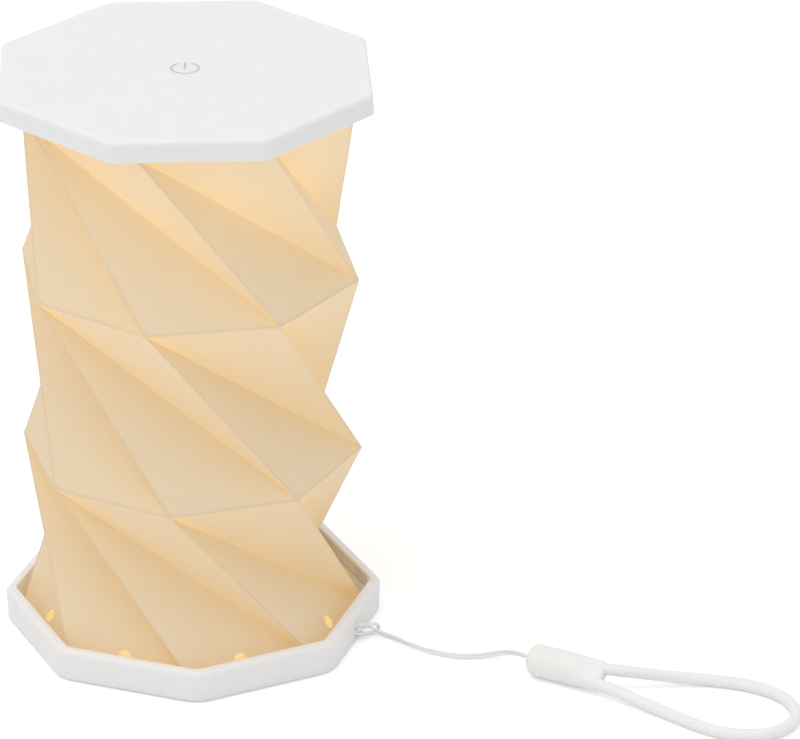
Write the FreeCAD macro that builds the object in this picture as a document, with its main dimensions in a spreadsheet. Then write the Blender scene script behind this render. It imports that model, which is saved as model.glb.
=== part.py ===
import FreeCAD
import Part
import math
import os
import re
import Sketcher
from FreeCAD import Placement, Rotation, Vector

# A twist-folding paper table lamp. The paper shade is an eight-sided bellows of three tiers, and stands
# in a shallow tray. A flat cap on top holds the battery, the touch switch and the lights. Twisting the
# cap clockwise folds the shade flat, until the cap closes on the rim of the tray.
# Millimetres, +Z up. The origin is under the middle of the tray, on the surface that the lamp stands on.
# A corner of the tray and a flat side of the cap face -Y. The strap leaves the tray towards +X.

os.makedirs("parts", exist_ok=True)
doc = FreeCAD.newDocument("paper_lamp")
sizes = doc.addObject("Spreadsheet::Sheet", "sizes")

SIDES = 8
SIDE_TURN = 360.0 / SIDES
HALF_TURN = SIDE_TURN / 2
FRONT = -90.0
STRAP_WALL = -HALF_TURN
STRIP_WALLS = (HALF_TURN, HALF_TURN + 180)
COS_HALF = math.cos(math.radians(HALF_TURN))

driving = {
    # foot pad and tray
    "pad_thick": 0.8,
    "pad_recess": 0.2,
    "pad_margin": 5.0,
    "tray_height": 9.7,
    "tray_wall": 3.05,
    "tray_floor": 1.4,
    "tray_corner_low": 9.0,
    "tray_corner_rim": 3.5,
    "rim_round": 1.6,
    "rim_inner_round": 0.35,
    # steel strips in the tray's wall, and the magnets that they hold when the lamp is shut
    "strip_length": 36.0,
    "strip_height": 4.0,
    "strip_thick": 0.8,
    "strip_below_rim": 1.0,
    "strip_gap": 0.3,
    "strip_sunk": 0.4,
    "magnet_length": 20.0,
    "magnet_width": 3.6,
    "magnet_thick": 2.0,
    # paper shade: radius of the creased corners and their gap to the tray's wall, height and twist of each ring
    "ring_radius": 52.1,
    "shade_gap": 3.16,
    "tier_low": 57.9,
    "tier_middle": 59.3,
    "tier_high": 57.3,
    "ring_low_twist": -8.0,
    "ring_high_twist": -14.9,
    "paper_thick": 0.5,
    "flange_thick": 0.4,
    "vent_diameter": 4.2,
    "vent_share": 0.09,
    # the two frames that clamp the shade's folded edges
    "frame_inset": 2.2,
    "flange_lip": 1.2,
    "frame_thick": 1.2,
    "frame_boss_radius": 2.0,
    "frame_boss_height": 2.0,
    "screw_radius": 0.9,
    "screw_head_radius": 1.8,
    "screw_head_depth": 0.9,
    "screw_play": 0.06,
    # cap
    "cap_overhang": 0.9,
    "cap_height": 6.6,
    "cap_lean": 0.35,
    "cap_corner_top": 6.0,
    "cap_corner_low": 3.5,
    "cap_round": 1.4,
    "cap_low_round": 0.4,
    "cap_wall": 1.9,
    "cap_roof": 1.6,
    "plate_thick": 1.4,
    "plate_play": 0.2,
    "cap_screw_gap": 3.2,
    "flange_gap": 0.6,
    "cap_boss_radius": 2.3,
    "pan_head_radius": 1.9,
    "pan_head_height": 1.2,
    # power mark in the cap's top, and the touch plate under it
    "mark_radius": 4.1,
    "mark_line": 0.55,
    "mark_depth": 0.25,
    "mark_gap_turn": 50.0,
    "mark_bar": 4.9,
    "touch_radius": 9.0,
    "touch_thick": 0.2,
    "foam_radius": 3.0,
    # battery cup and cell
    "cup_radius": 19.4,
    "cup_wall": 1.2,
    "cup_depth": 6.6,
    "cup_lip": 2.6,
    "cup_lip_thick": 0.8,
    "cup_play": 0.2,
    "cell_length": 26.0,
    "cell_width": 24.0,
    "cell_thick": 6.0,
    "tape_thick": 0.4,
    # control board and charging socket
    "board_width": 40.0,
    "board_gap": 1.75,
    "board_edge": 8.0,
    "board_post_gap": 0.6,
    "board_thick": 1.0,
    "board_post": 0.5,
    "board_post_radius": 1.9,
    "socket_width": 8.94,
    "socket_height": 3.2,
    "socket_length": 7.35,
    "socket_shell": 0.3,
    "socket_sunk": 0.6,
    "port_play": 0.15,
    # lights
    "led_board_width": 8.4,
    "opal_gap": 0.3,
    "led_board_thick": 1.0,
    "led_length": 3.5,
    "led_width": 2.8,
    "led_height": 0.8,
    "opal_wall": 0.9,
    "opal_depth": 3.4,
    # strap: doubled thin cord, moulded sleeve, thick loop
    "strap_hole_radius": 0.95,
    "strap_hole_pitch": 2.6,
    "strap_hole_rise": 2.4,
    "strap_hole_shift": -1.0,
    "thin_cord": 0.85,
    "doubled_cord": 1.8,
    "sleeve_radius": 5.0,
    "sleeve_end_width": 9.8,
    "sleeve_end_height": 6.0,
    "sleeve_length": 25.0,
    "sleeve_taper": 7.0,
    "sleeve_round": 3.0,
    "loop_cord": 3.7,
}
for row, (alias, number) in enumerate(driving.items(), start=1):
    sizes.set(f"A{row}", alias)
    sizes.set(f"B{row}", str(number))
    sizes.setAlias(f"B{row}", alias)
doc.recompute()


def size(alias):
    return float(sizes.get(alias))


# Heights that several pieces share, as sums of the sheet's cells
FLOOR = "(pad_thick - pad_recess + tray_floor)"
TRAY_LOW = "(pad_thick - pad_recess)"
RIM = "(pad_thick - pad_recess + tray_height)"
CAP_LOW = f"({FLOOR} + tier_low + tier_middle + tier_high)"
CAP_TOP = f"({CAP_LOW} + cap_height)"
ROOF = f"({CAP_TOP} - cap_roof)"
PLATE_TOP = f"({CAP_LOW} + plate_thick)"
BOARD_LOW = f"({PLATE_TOP} + board_post)"
BOARD_TOP = f"({BOARD_LOW} + board_thick)"

# Distances from the lamp's axis, worked out from the shade for the tray and the cap
TRAY_IN = f"((ring_radius + shade_gap) * cos({HALF_TURN}))"
TRAY_HALF = f"({TRAY_IN} + tray_wall)"
CAP_HALF = f"({TRAY_HALF} + cap_overhang)"
CAP_IN = f"({CAP_HALF} - cap_lean - cap_wall)"

# Distances from the axis, worked outwards from the battery cup for the lights and the screws
LED_IN = "(cup_radius + cup_play + opal_wall + opal_gap)"
LED_OUT = f"({LED_IN} + led_board_width)"
OPAL_OUT = f"({LED_OUT} + opal_gap + opal_wall)"
CAP_SCREWS = f"({OPAL_OUT} + cap_screw_gap + pan_head_radius)"
LIP = f"(({CAP_SCREWS} + pan_head_radius + flange_gap) / cos({HALF_TURN}))"
FRAME_IN = f"({LIP} + flange_lip)"
FRAME_OUT = "(ring_radius - frame_inset)"
FRAME_SCREWS = f"(({FRAME_IN} + {FRAME_OUT}) / 2 * cos({HALF_TURN}))"


def cells(text):
    # names of sizes in an expression become references to the sheet
    names = sorted(driving, key=len, reverse=True)
    return re.sub(r"\b(" + "|".join(names) + r")\b", r"sizes.\1", str(text))


def value(text):
    return float(sizes.evalExpression(cells(text)))


floor_z = value(FLOOR)
rim_z = value(RIM)
cap_z = value(CAP_LOW)
tray_half = value(TRAY_HALF)


def bind(thing, **properties):
    for name, text in properties.items():
        thing.setExpression(name.replace("__", "."), cells(text))
    return thing


def place(thing, x="0", y="0", z="0", turn=0.0, axis=Vector(0, 0, 1)):
    thing.Placement = Placement(Vector(0, 0, 0), Rotation(axis, turn))
    return bind(thing, Placement__Base__x=x, Placement__Base__y=y, Placement__Base__z=z)


def polar(radius, angle):
    return f"({radius}) * cos({angle})", f"({radius}) * sin({angle})"


def cylinder(name, radius, height, x="0", y="0", z="0"):
    thing = doc.addObject("Part::Cylinder", name)
    bind(thing, Radius=radius, Height=height)
    return place(thing, x, y, z)


def cone(name, low_radius, high_radius, height, x="0", y="0", z="0"):
    thing = doc.addObject("Part::Cone", name)
    bind(thing, Radius1=low_radius, Radius2=high_radius, Height=height)
    return place(thing, x, y, z)


def box(name, length, width, height, x, y, z):
    # a box whose low corner is at x, y, z
    thing = doc.addObject("Part::Box", name)
    bind(thing, Length=length, Width=width, Height=height)
    return place(thing, x, y, z)


def wall_box(name, depth, width, height, reach, low, angle, shift="0"):
    # a box on a wall that faces angle: reach is its inner side's distance from the axis, shift goes along the wall
    thing = doc.addObject("Part::Box", name)
    bind(thing, Length=depth, Width=width, Height=height)
    side = f"({shift} - ({width}) / 2)"
    x = f"({reach}) * cos({angle}) - {side} * sin({angle})"
    y = f"({reach}) * sin({angle}) + {side} * cos({angle})"
    return place(thing, x, y, low, angle)


def prism(name, circumradius, height, z, turn):
    thing = doc.addObject("Part::Prism", name)
    thing.Polygon = SIDES
    bind(thing, Circumradius=circumradius, Height=height)
    return place(thing, z=z, turn=turn)


def cut(name, base, tools):
    tool = tools[0]
    if len(tools) > 1:
        tool = doc.addObject("Part::MultiFuse", name + "_tools")
        tool.Shapes = tools
    thing = doc.addObject("Part::Cut", name)
    thing.Base = base
    thing.Tool = tool
    return thing


def fuse(name, shapes):
    thing = doc.addObject("Part::MultiFuse", name)
    thing.Shapes = shapes
    return thing


def group(name, shapes):
    thing = doc.addObject("Part::Compound", name)
    thing.Links = shapes
    return thing


def plane(body, role="XY_Plane"):
    return next(f for f in body.Origin.OriginFeatures if f.Role == role)


def octagon(body, name, apothem, corner, z, turn=0.0):
    # a sketch of a regular octagon with rounded corners, whose sides lie on a construction circle
    sketch = body.newObject("Sketcher::SketchObject", name)
    sketch.AttachmentSupport = (plane(body), [""])
    sketch.MapMode = "FlatFace"
    sketch.AttachmentOffset = Placement(Vector(0, 0, 0), Rotation(Vector(0, 0, 1), turn))
    bind(sketch, AttachmentOffset__Base__z=z)
    start_apothem, start_corner = 50.0, 5.0
    arc_centre = (start_apothem - start_corner) / COS_HALF
    side_half = (start_apothem - start_corner) * math.tan(math.radians(HALF_TURN))
    for k in range(SIDES):
        normal = math.radians(k * SIDE_TURN)
        corner_way = math.radians((k + 0.5) * SIDE_TURN)
        outward = Vector(math.cos(normal), math.sin(normal), 0)
        along = Vector(-math.sin(normal), math.cos(normal), 0)
        middle = outward * start_apothem
        sketch.addGeometry(Part.LineSegment(middle - along * side_half, middle + along * side_half), False)
        centre = Vector(math.cos(corner_way), math.sin(corner_way), 0) * arc_centre
        circle = Part.Circle(centre, Vector(0, 0, 1), start_corner)
        arc = Part.ArcOfCircle(circle, normal, normal + math.radians(SIDE_TURN))
        sketch.addGeometry(arc, False)
    guide = 2 * SIDES
    sketch.addGeometry(Part.Circle(Vector(0, 0, 0), Vector(0, 0, 1), start_apothem), True)
    rules = [Sketcher.Constraint("Coincident", guide, 3, -1, 1), Sketcher.Constraint("Vertical", 0)]
    for k in range(SIDES):
        line, arc, following = 2 * k, 2 * k + 1, 2 * ((k + 1) % SIDES)
        rules.append(Sketcher.Constraint("Tangent", line, 2, arc, 1))
        rules.append(Sketcher.Constraint("Tangent", arc, 2, following, 1))
        rules.append(Sketcher.Constraint("Tangent", line, guide))
        if k:
            rules.append(Sketcher.Constraint("Angle", 2 * (k - 1), line, math.radians(SIDE_TURN)))
            rules.append(Sketcher.Constraint("Equal", 1, arc))
    sketch.addConstraint(rules)
    for title, curve, length, text in (
        ("apothem", guide, start_apothem, apothem),
        ("corner", 1, start_corner, corner),
    ):
        number = sketch.addConstraint(Sketcher.Constraint("Radius", curve, length))
        sketch.renameConstraint(number, title)
        sketch.setExpression("Constraints." + title, cells(text))
    return sketch


def new_body(name):
    return doc.addObject("PartDesign::Body", name)


def loft(body, name, low, high):
    thing = body.newObject("PartDesign::AdditiveLoft", name)
    thing.Profile = (low, [""])
    thing.Sections = [(high, [""])]
    thing.Ruled = True
    return thing


def pad(body, name, sketch, length):
    thing = body.newObject("PartDesign::Pad", name)
    thing.Profile = (sketch, [""])
    bind(thing, Length=length)
    return thing


def pocket(body, name, sketch, length, upwards):
    # cuts from the sketch's plane, up or down, and must take something away
    before = body.Tip.Shape.Volume
    thing = body.newObject("PartDesign::Pocket", name)
    thing.Profile = (sketch, [""])
    thing.Reversed = upwards
    bind(thing, Length=length)
    doc.recompute()
    if not thing.Shape.Volume < before - 0.01:
        raise RuntimeError(f"{name} cuts nothing: {before} to {thing.Shape.Volume}")
    return thing


def round_edges(body, name, radius, wanted):
    # rounds the edges of the body's last feature that the function wanted picks
    doc.recompute()
    last = body.Tip
    chosen = [f"Edge{i}" for i, edge in enumerate(last.Shape.Edges, start=1) if wanted(edge)]
    if not chosen:
        raise RuntimeError(f"{name} finds no edges")
    thing = body.newObject("PartDesign::Fillet", name)
    thing.Base = (last, chosen)
    bind(thing, Radius=radius)
    doc.recompute()
    return thing


def flat_at(edge, height):
    return abs(edge.BoundBox.ZMin - height) < 0.01 and abs(edge.BoundBox.ZMax - height) < 0.01


def reach_of(edge, turn):
    # how far out an edge's middle lies, measured square to the sides of an octagon with the given turn
    middle = edge.valueAt((edge.FirstParameter + edge.LastParameter) / 2)
    angles = [math.radians(turn + k * SIDE_TURN) for k in range(SIDES)]
    return max(middle.x * math.cos(angle) + middle.y * math.sin(angle) for angle in angles)


# Foot pad: a thin soft plate, set in a little from the tray's lower edge
def foot_pad():
    body = new_body("foot_pad")
    outline = octagon(
        body, "foot_pad_outline", f"{TRAY_HALF} - pad_margin", "tray_corner_low", "0", HALF_TURN
    )
    pad(body, "foot_pad_plate", outline, "pad_thick")
    return body


# Tray: its corners are rounder at the floor than at the rim, as on a moulded shell
def base_tray():
    body = new_body("tray_shell")
    low = octagon(body, "tray_low", TRAY_HALF, "tray_corner_low", TRAY_LOW, HALF_TURN)
    high = octagon(body, "tray_high", TRAY_HALF, "tray_corner_rim", RIM, HALF_TURN)
    loft(body, "tray_block", low, high)
    doc.recompute()
    well = octagon(body, "tray_well_outline", TRAY_IN, "tray_corner_rim", RIM, HALF_TURN)
    pocket(body, "tray_well", well, "tray_height - tray_floor", False)
    seat = octagon(
        body, "pad_seat_outline", f"{TRAY_HALF} - pad_margin + strip_gap", "tray_corner_low", TRAY_LOW, HALF_TURN
    )
    pocket(body, "pad_seat", seat, "pad_recess", True)
    halfway = tray_half - size("tray_wall") / 2
    outside = lambda edge: flat_at(edge, rim_z) and reach_of(edge, HALF_TURN) > halfway
    inside = lambda edge: flat_at(edge, rim_z) and reach_of(edge, HALF_TURN) < halfway - 1
    round_edges(body, "rim_outer", "rim_round", outside)
    round_edges(body, "rim_inner", "rim_inner_round", inside)
    tools = []
    for k, angle in enumerate(STRIP_WALLS):
        tools.append(
            wall_box(
                f"strip_slot_{k}",
                "strip_thick + strip_sunk + 1",
                "strip_length + 2 * strip_gap",
                "strip_height + 2 * strip_gap",
                f"{TRAY_IN} - 1",
                f"{RIM} - strip_below_rim - strip_height - 2 * strip_gap",
                angle,
            )
        )
    for k in range(2):
        hole = cylinder(f"strap_hole_{k}", "strap_hole_radius", "tray_wall + 2")
        reach = f"({TRAY_IN} - 1)"
        place(
            hole,
            f"{reach} * cos({STRAP_WALL}) - strap_hole_shift * sin({STRAP_WALL})",
            f"{reach} * sin({STRAP_WALL}) + strap_hole_shift * cos({STRAP_WALL})",
            f"{TRAY_LOW} + strap_hole_rise + {k} * strap_hole_pitch",
        )
        hole.Placement.Rotation = Rotation(Vector(0, 0, 1), Vector(*direction(STRAP_WALL)))
        tools.append(hole)
    for k, angle in enumerate(low_screw_angles):
        x, y = polar(FRAME_SCREWS, angle)
        tools.append(
            cylinder(f"tray_screw_hole_{k}", "screw_radius + screw_play", "tray_floor + 1", x, y, TRAY_LOW)
        )
        tools.append(
            cone(
                f"tray_screw_sink_{k}",
                "screw_head_radius + screw_play",
                "screw_radius + screw_play",
                "screw_head_depth",
                x,
                y,
                "pad_thick",
            )
        )
    return cut("base_tray", body, tools)


def direction(angle, rise=0.0):
    return (math.cos(math.radians(angle)), math.sin(math.radians(angle)), rise)


low_screw_angles = [HALF_TURN + 90 * k for k in range(4)]
high_screw_angles = [90 * k for k in range(4)]
cap_screw_angles = [45 + 90 * k for k in range(4)]
# the cap turns by this much while the shade folds, so its magnets meet the strips when it is shut
fold_turn = (SIDES / 2 - 1) * SIDE_TURN - HALF_TURN
magnet_angles = [angle + fold_turn for angle in STRIP_WALLS]


def closure_strips():
    strips = []
    for k, angle in enumerate(STRIP_WALLS):
        strips.append(
            wall_box(
                f"closure_strip_{k}",
                "strip_thick",
                "strip_length",
                "strip_height",
                f"{TRAY_IN} + strip_sunk",
                f"{RIM} - strip_below_rim - strip_height - strip_gap",
                angle,
            )
        )
    return group("closure_strips", strips)


# Clamping frame: a flat eight-sided ring with four screw bosses, the same part below and above
def clamp_frame(name, z, boss_z, turn, angles):
    ring = prism(name + "_ring", FRAME_OUT, "frame_thick", z, turn)
    hole = prism(name + "_hole", FRAME_IN, "frame_thick", z, turn)
    plate = cut(name + "_plate", ring, [hole])
    bosses, bores = [], []
    for k, angle in enumerate(angles):
        x, y = polar(FRAME_SCREWS, angle)
        height = "frame_thick + frame_boss_height"
        bosses.append(cylinder(f"{name}_boss_{k}", "frame_boss_radius", height, x, y, boss_z))
        bores.append(cylinder(f"{name}_bore_{k}", "screw_radius + screw_play", height, x, y, boss_z))
    return cut(name, fuse(name + "_solid", [plate] + bosses), bores)


def frame_screws(name, angles, head_z, upwards):
    screws = []
    shank = "(plate_thick + flange_thick + frame_thick + frame_boss_height - screw_head_depth - 0.4)"
    for k, angle in enumerate(angles):
        x, y = polar(FRAME_SCREWS, angle)
        if upwards:
            head = cone(f"{name}_head_{k}", "screw_head_radius", "screw_radius", "screw_head_depth", x, y, head_z)
            body = cylinder(f"{name}_shank_{k}", "screw_radius", shank, x, y, f"{head_z} + screw_head_depth")
        else:
            low = f"{head_z} - screw_head_depth"
            head = cone(f"{name}_head_{k}", "screw_radius", "screw_head_radius", "screw_head_depth", x, y, low)
            body = cylinder(f"{name}_shank_{k}", "screw_radius", shank, x, y, f"{low} - {shank}")
        screws.append(fuse(f"{name}_{k}", [head, body]))
    return group(name, screws)


# Pleated shade
def ring_points(radius, twist, z):
    points = []
    for k in range(SIDES):
        angle = math.radians(FRONT + k * SIDE_TURN + twist)
        points.append(Vector(radius * math.cos(angle), radius * math.sin(angle), z))
    return points


def polygon(points):
    return Part.makePolygon(list(points) + [points[0]])


def facet_corners(low, high, k):
    # two facets of a tier: one stands on the lower ring, the other hangs from the upper ring
    standing = [high[k], low[(k + 1) % SIDES], low[(k + 2) % SIDES]]
    hanging = [high[k], low[(k + 2) % SIDES], high[(k + 1) % SIDES]]
    return standing, hanging


def shade_rings(radius, end_step):
    heights = [floor_z + end_step, floor_z + size("tier_low")]
    heights.append(heights[1] + size("tier_middle"))
    heights.append(cap_z - end_step)
    twists = [0.0, size("ring_low_twist"), size("ring_high_twist"), -HALF_TURN]
    return [ring_points(radius, twist, z) for twist, z in zip(twists, heights)]


def pleated_shade():
    outer = shade_rings(size("ring_radius"), 0.0)
    inner = shade_rings(size("ring_radius") - size("paper_thick"), size("flange_thick"))
    faces = []
    for rings in (outer, inner):
        for low, high in zip(rings, rings[1:]):
            for k in range(SIDES):
                for corners in facet_corners(low, high, k):
                    faces.append(Part.Face(polygon(corners)))
    lip = value(LIP)
    for end, twist in ((0, 0.0), (-1, -HALF_TURN)):
        edge_outer = ring_points(lip, twist, outer[end][0].z)
        edge_inner = ring_points(lip, twist, inner[end][0].z)
        for ring, ring_edge in ((outer[end], edge_outer), (inner[end], edge_inner)):
            faces += Part.Face(polygon(ring)).cut(Part.Face(polygon(ring_edge))).Faces
        for k in range(SIDES):
            n = (k + 1) % SIDES
            faces.append(Part.Face(polygon([edge_outer[k], edge_outer[n], edge_inner[n], edge_inner[k]])))
    paper = Part.makeSolid(Part.makeShell(faces))
    if paper.Volume < 0:
        paper.reverse()
    holes = []
    share = size("vent_share")
    for k in range(SIDES):
        top, left, right = facet_corners(outer[0], outer[1], k)[0]
        middle = top * share + (left + right) * ((1 - share) / 2)
        normal = (left - top).cross(right - top).normalize()
        length = 8.0
        holes.append(Part.makeCylinder(size("vent_diameter") / 2, length, middle - normal * (length / 2), normal))
    for angles, z in ((low_screw_angles, floor_z), (high_screw_angles, cap_z - size("flange_thick"))):
        for angle in angles:
            way = Vector(*direction(angle)) * value(FRAME_SCREWS)
            start = Vector(way.x, way.y, z - 0.1)
            hole_radius = size("screw_radius") + 3 * size("screw_play")
            holes.append(Part.makeCylinder(hole_radius, size("flange_thick") + 0.2, start))
    thing = doc.addObject("Part::Feature", "pleated_shade")
    thing.Shape = paper.cut(holes)
    return thing


# Cap cover: an upturned tray, a little smaller at the top, with rounder corners there
def cap_cover():
    body = new_body("cap_shell")
    low = octagon(body, "cap_low", CAP_HALF, "cap_corner_low", CAP_LOW)
    high = octagon(body, "cap_high", f"{CAP_HALF} - cap_lean", "cap_corner_top", CAP_TOP)
    loft(body, "cap_block", low, high)
    doc.recompute()
    well = octagon(body, "cap_well_outline", CAP_IN, "cap_corner_low", CAP_LOW)
    pocket(body, "cap_well", well, "cap_height - cap_roof", True)
    top_z = cap_z + size("cap_height")
    round_edges(body, "cap_edge", "cap_round", lambda edge: flat_at(edge, top_z))
    halfway = value(CAP_IN) + size("cap_wall") / 2
    outside = lambda edge: flat_at(edge, cap_z) and reach_of(edge, 0.0) > halfway
    round_edges(body, "cap_low_edge", "cap_low_round", outside)
    bosses, bores = [], []
    for k, angle in enumerate(cap_screw_angles):
        x, y = polar(CAP_SCREWS, angle)
        height = f"{ROOF} - {PLATE_TOP}"
        bosses.append(cylinder(f"cap_boss_{k}", "cap_boss_radius", f"{height} + 0.2", x, y, PLATE_TOP))
        bores.append(cylinder(f"cap_bore_{k}", "screw_radius", height, x, y, PLATE_TOP))
    port_radius = "(socket_height / 2 + port_play)"
    port_z = f"({BOARD_LOW} + board_thick / 2 + 0.8)"
    half = "(socket_width / 2 - socket_height / 2)"
    reach = f"{CAP_IN} - 1"
    tools = list(bores)
    for k, side in enumerate((-1, 1)):
        end = cylinder(f"port_end_{k}", port_radius, "cap_wall + 3")
        place(end, f"{side} * {half}", reach, port_z)
        end.Placement.Rotation = Rotation(Vector(1, 0, 0), -90)
        tools.append(end)
    tools.append(
        box("port_slot", f"2 * {half}", "cap_wall + 3", f"2 * {port_radius}", f"-{half}", reach, f"{port_z} - {port_radius}")
    )
    tools += mark_pieces("mark_cut", "0.02", "mark_depth + 1")
    return cut("cap_cover", fuse("cap_with_bosses", [body] + bosses), tools)


def mark_pieces(name, play, depth):
    # an open ring with a bar in its gap; play widens the cut around the inlay
    low = f"{CAP_TOP} - mark_depth"
    ring = cylinder(name + "_ring", f"mark_radius + mark_line / 2 + {play}", depth, z=low)
    hole = cylinder(name + "_hole", f"mark_radius - mark_line / 2 - {play}", depth, z=low)
    gap = size("mark_gap_turn")
    ring.Placement.Rotation = Rotation(Vector(0, 0, 1), 90 + gap / 2)
    bind(ring, Angle="360 - mark_gap_turn")
    arc = cut(name + "_arc", ring, [hole])
    width = f"(mark_line + 2 * {play})"
    bar = box(
        name + "_bar",
        width,
        f"mark_bar + {play}",
        depth,
        f"-{width} / 2",
        f"mark_radius + mark_line / 2 - mark_bar",
        low,
    )
    return [arc, bar]


def power_mark():
    return group("power_mark", mark_pieces("mark", "0", "mark_depth"))


def touch_plate():
    return place(cylinder("touch_plate", "touch_radius", "touch_thick"), z=f"{ROOF} - touch_thick")


def touch_foam():
    height = f"{ROOF} - touch_thick - {BOARD_TOP}"
    return cylinder("touch_foam", "foam_radius", height, z=BOARD_TOP)


# Plate that closes the cap from below, and clamps the shade's upper edge
def cap_plate():
    body = new_body("plate_body")
    outline = octagon(body, "plate_outline", f"{CAP_IN} - plate_play", "cap_corner_low", CAP_LOW)
    pad(body, "plate_pad", outline, "plate_thick")
    posts, tools = [], []
    for k, (x, y) in enumerate(post_places):
        posts.append(cylinder(f"board_post_{k}", "board_post_radius", "board_post", x, y, PLATE_TOP))
        tools.append(
            cylinder(f"post_bore_{k}", "screw_radius", "board_post + plate_thick / 2", x, y, f"{PLATE_TOP} - plate_thick / 2")
        )
    tools.append(cylinder("cup_hole", "cup_radius + cup_play", "plate_thick + 1", z=f"{CAP_LOW} - 0.5"))
    tools.append(
        cylinder("cup_seat", "cup_radius + cup_lip + cup_play", "plate_thick", z=f"{PLATE_TOP} - cup_lip_thick")
    )
    for k, angle in enumerate(cap_screw_angles):
        x, y = polar(CAP_SCREWS, angle)
        tools.append(
            cylinder(f"plate_hole_{k}", "screw_radius + screw_play", "plate_thick + 1", x, y, f"{CAP_LOW} - 0.5")
        )
    for k, angle in enumerate(high_screw_angles):
        x, y = polar(FRAME_SCREWS, angle)
        tools.append(
            cylinder(f"plate_screw_hole_{k}", "screw_radius + screw_play", "plate_thick + 1", x, y, f"{CAP_LOW} - 0.5")
        )
        tools.append(
            cone(
                f"plate_screw_sink_{k}",
                "screw_radius + screw_play",
                "screw_head_radius + screw_play",
                "screw_head_depth",
                x,
                y,
                f"{PLATE_TOP} - screw_head_depth",
            )
        )
    x, y = led_pin_place
    tools.append(cylinder("pin_hole", "2.2", "plate_thick + 1", x, y, f"{CAP_LOW} - 0.5"))
    return cut("cap_plate", fuse("plate_with_posts", [body] + posts), tools)


BOARD_BACK = f"({CAP_IN} - board_gap)"
POST_FRONT = "(cup_radius + board_post_gap)"
POST_BACK = f"({BOARD_BACK} - board_edge)"
post_places = [
    (f"{side} * (board_width / 2 - board_edge / 2)", y) for y in (f"-{POST_FRONT}", POST_BACK) for side in (-1, 1)
]
led_pin_place = polar(f"({LED_IN} + {LED_OUT}) / 2", 60)


def cap_screws():
    screws = []
    length = f"({ROOF} - {CAP_LOW} - 0.5)"
    for k, angle in enumerate(cap_screw_angles):
        x, y = polar(CAP_SCREWS, angle)
        head = cylinder(f"cap_screw_head_{k}", "pan_head_radius", "pan_head_height", x, y, f"{CAP_LOW} - pan_head_height")
        shank = cylinder(f"cap_screw_shank_{k}", "screw_radius - screw_play", length, x, y, CAP_LOW)
        slot = box(f"cap_screw_slot_{k}", "2.4", "0.5", "0.5", f"{x} - 1.2", f"{y} - 0.25", f"{CAP_LOW} - pan_head_height")
        screws.append(cut(f"cap_screw_{k}", fuse(f"cap_screw_blank_{k}", [head, shank]), [slot]))
    return group("cap_screws", screws)


def closure_magnets():
    bars = []
    reach = f"{CAP_IN} - plate_play - magnet_width"
    for k, angle in enumerate(magnet_angles):
        bars.append(
            wall_box(f"magnet_{k}", "magnet_width", "magnet_length", "magnet_thick", reach, PLATE_TOP, angle)
        )
    return group("closure_magnets", bars)


# Battery cup: hangs through the plate and holds the cell on a pad of foam tape
def battery_cup():
    depth = "(cup_depth + plate_thick - cup_lip_thick)"
    wall = cylinder("cup_wall_solid", "cup_radius", depth, z=f"{CAP_LOW} - cup_depth")
    lip = cylinder("cup_lip_disc", "cup_radius + cup_lip", "cup_lip_thick", z=f"{PLATE_TOP} - cup_lip_thick")
    hollow = cylinder("cup_hollow", "cup_radius - cup_wall", "cup_depth + plate_thick", z=f"{CAP_LOW} - cup_depth + cup_wall")
    return cut("battery_cup", fuse("cup_solid", [wall, lip]), [hollow])


def battery_tape():
    return box(
        "battery_tape", "cell_width - 4", "cell_length - 4", "tape_thick",
        "2 - cell_width / 2", "2 - cell_length / 2", f"{CAP_LOW} - cup_depth + cup_wall",
    )


def battery_cell():
    # a foil pouch: rounded long edges, with a narrower folded seam at the end where the leads leave
    low = f"{CAP_LOW} - cup_depth + cup_wall + tape_thick"
    block = box(
        "cell_block", "cell_width", "cell_length - 2", "cell_thick", "-cell_width / 2", "-cell_length / 2", low
    )
    doc.recompute()
    rounded = doc.addObject("Part::Fillet", "cell_pouch")
    rounded.Base = block
    along_y = []
    for number, edge in enumerate(block.Shape.Edges, start=1):
        ends = [v.Point for v in edge.Vertexes]
        if abs(ends[0].x - ends[1].x) < 0.01 and abs(ends[0].z - ends[1].z) < 0.01:
            along_y.append((number, size("cell_thick") / 4, size("cell_thick") / 4))
    rounded.Edges = along_y
    seam = box(
        "cell_seam", "cell_width - 6", "2.2", "cell_thick / 3",
        "3 - cell_width / 2", "cell_length / 2 - 2.2", f"{low} + cell_thick / 3",
    )
    return fuse("battery_cell", [rounded, seam])


# Control board: under the cap's roof, with the charging socket in a notch at the back
def control_board():
    blank = box(
        "board_blank", "board_width", f"{POST_FRONT} + board_edge + {BOARD_BACK}", "board_thick",
        "-board_width / 2", f"-{POST_FRONT} - board_edge", BOARD_LOW,
    )
    notch = box(
        "board_notch", "socket_width + 0.4", "socket_length", "board_thick + 2",
        "-(socket_width + 0.4) / 2", f"{socket_back} - 0.2", f"{BOARD_LOW} - 1",
    )
    lead_slot = box("board_lead_slot", "6", "3", "board_thick + 2", "-3", "cell_length / 2 + 0.6", f"{BOARD_LOW} - 1")
    holes = [
        cylinder(f"board_hole_{k}", "screw_radius + screw_play", "board_thick + 2", x, y, f"{BOARD_LOW} - 1")
        for k, (x, y) in enumerate(post_places)
    ]
    return cut("control_board", blank, [notch, lead_slot] + holes)


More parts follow.
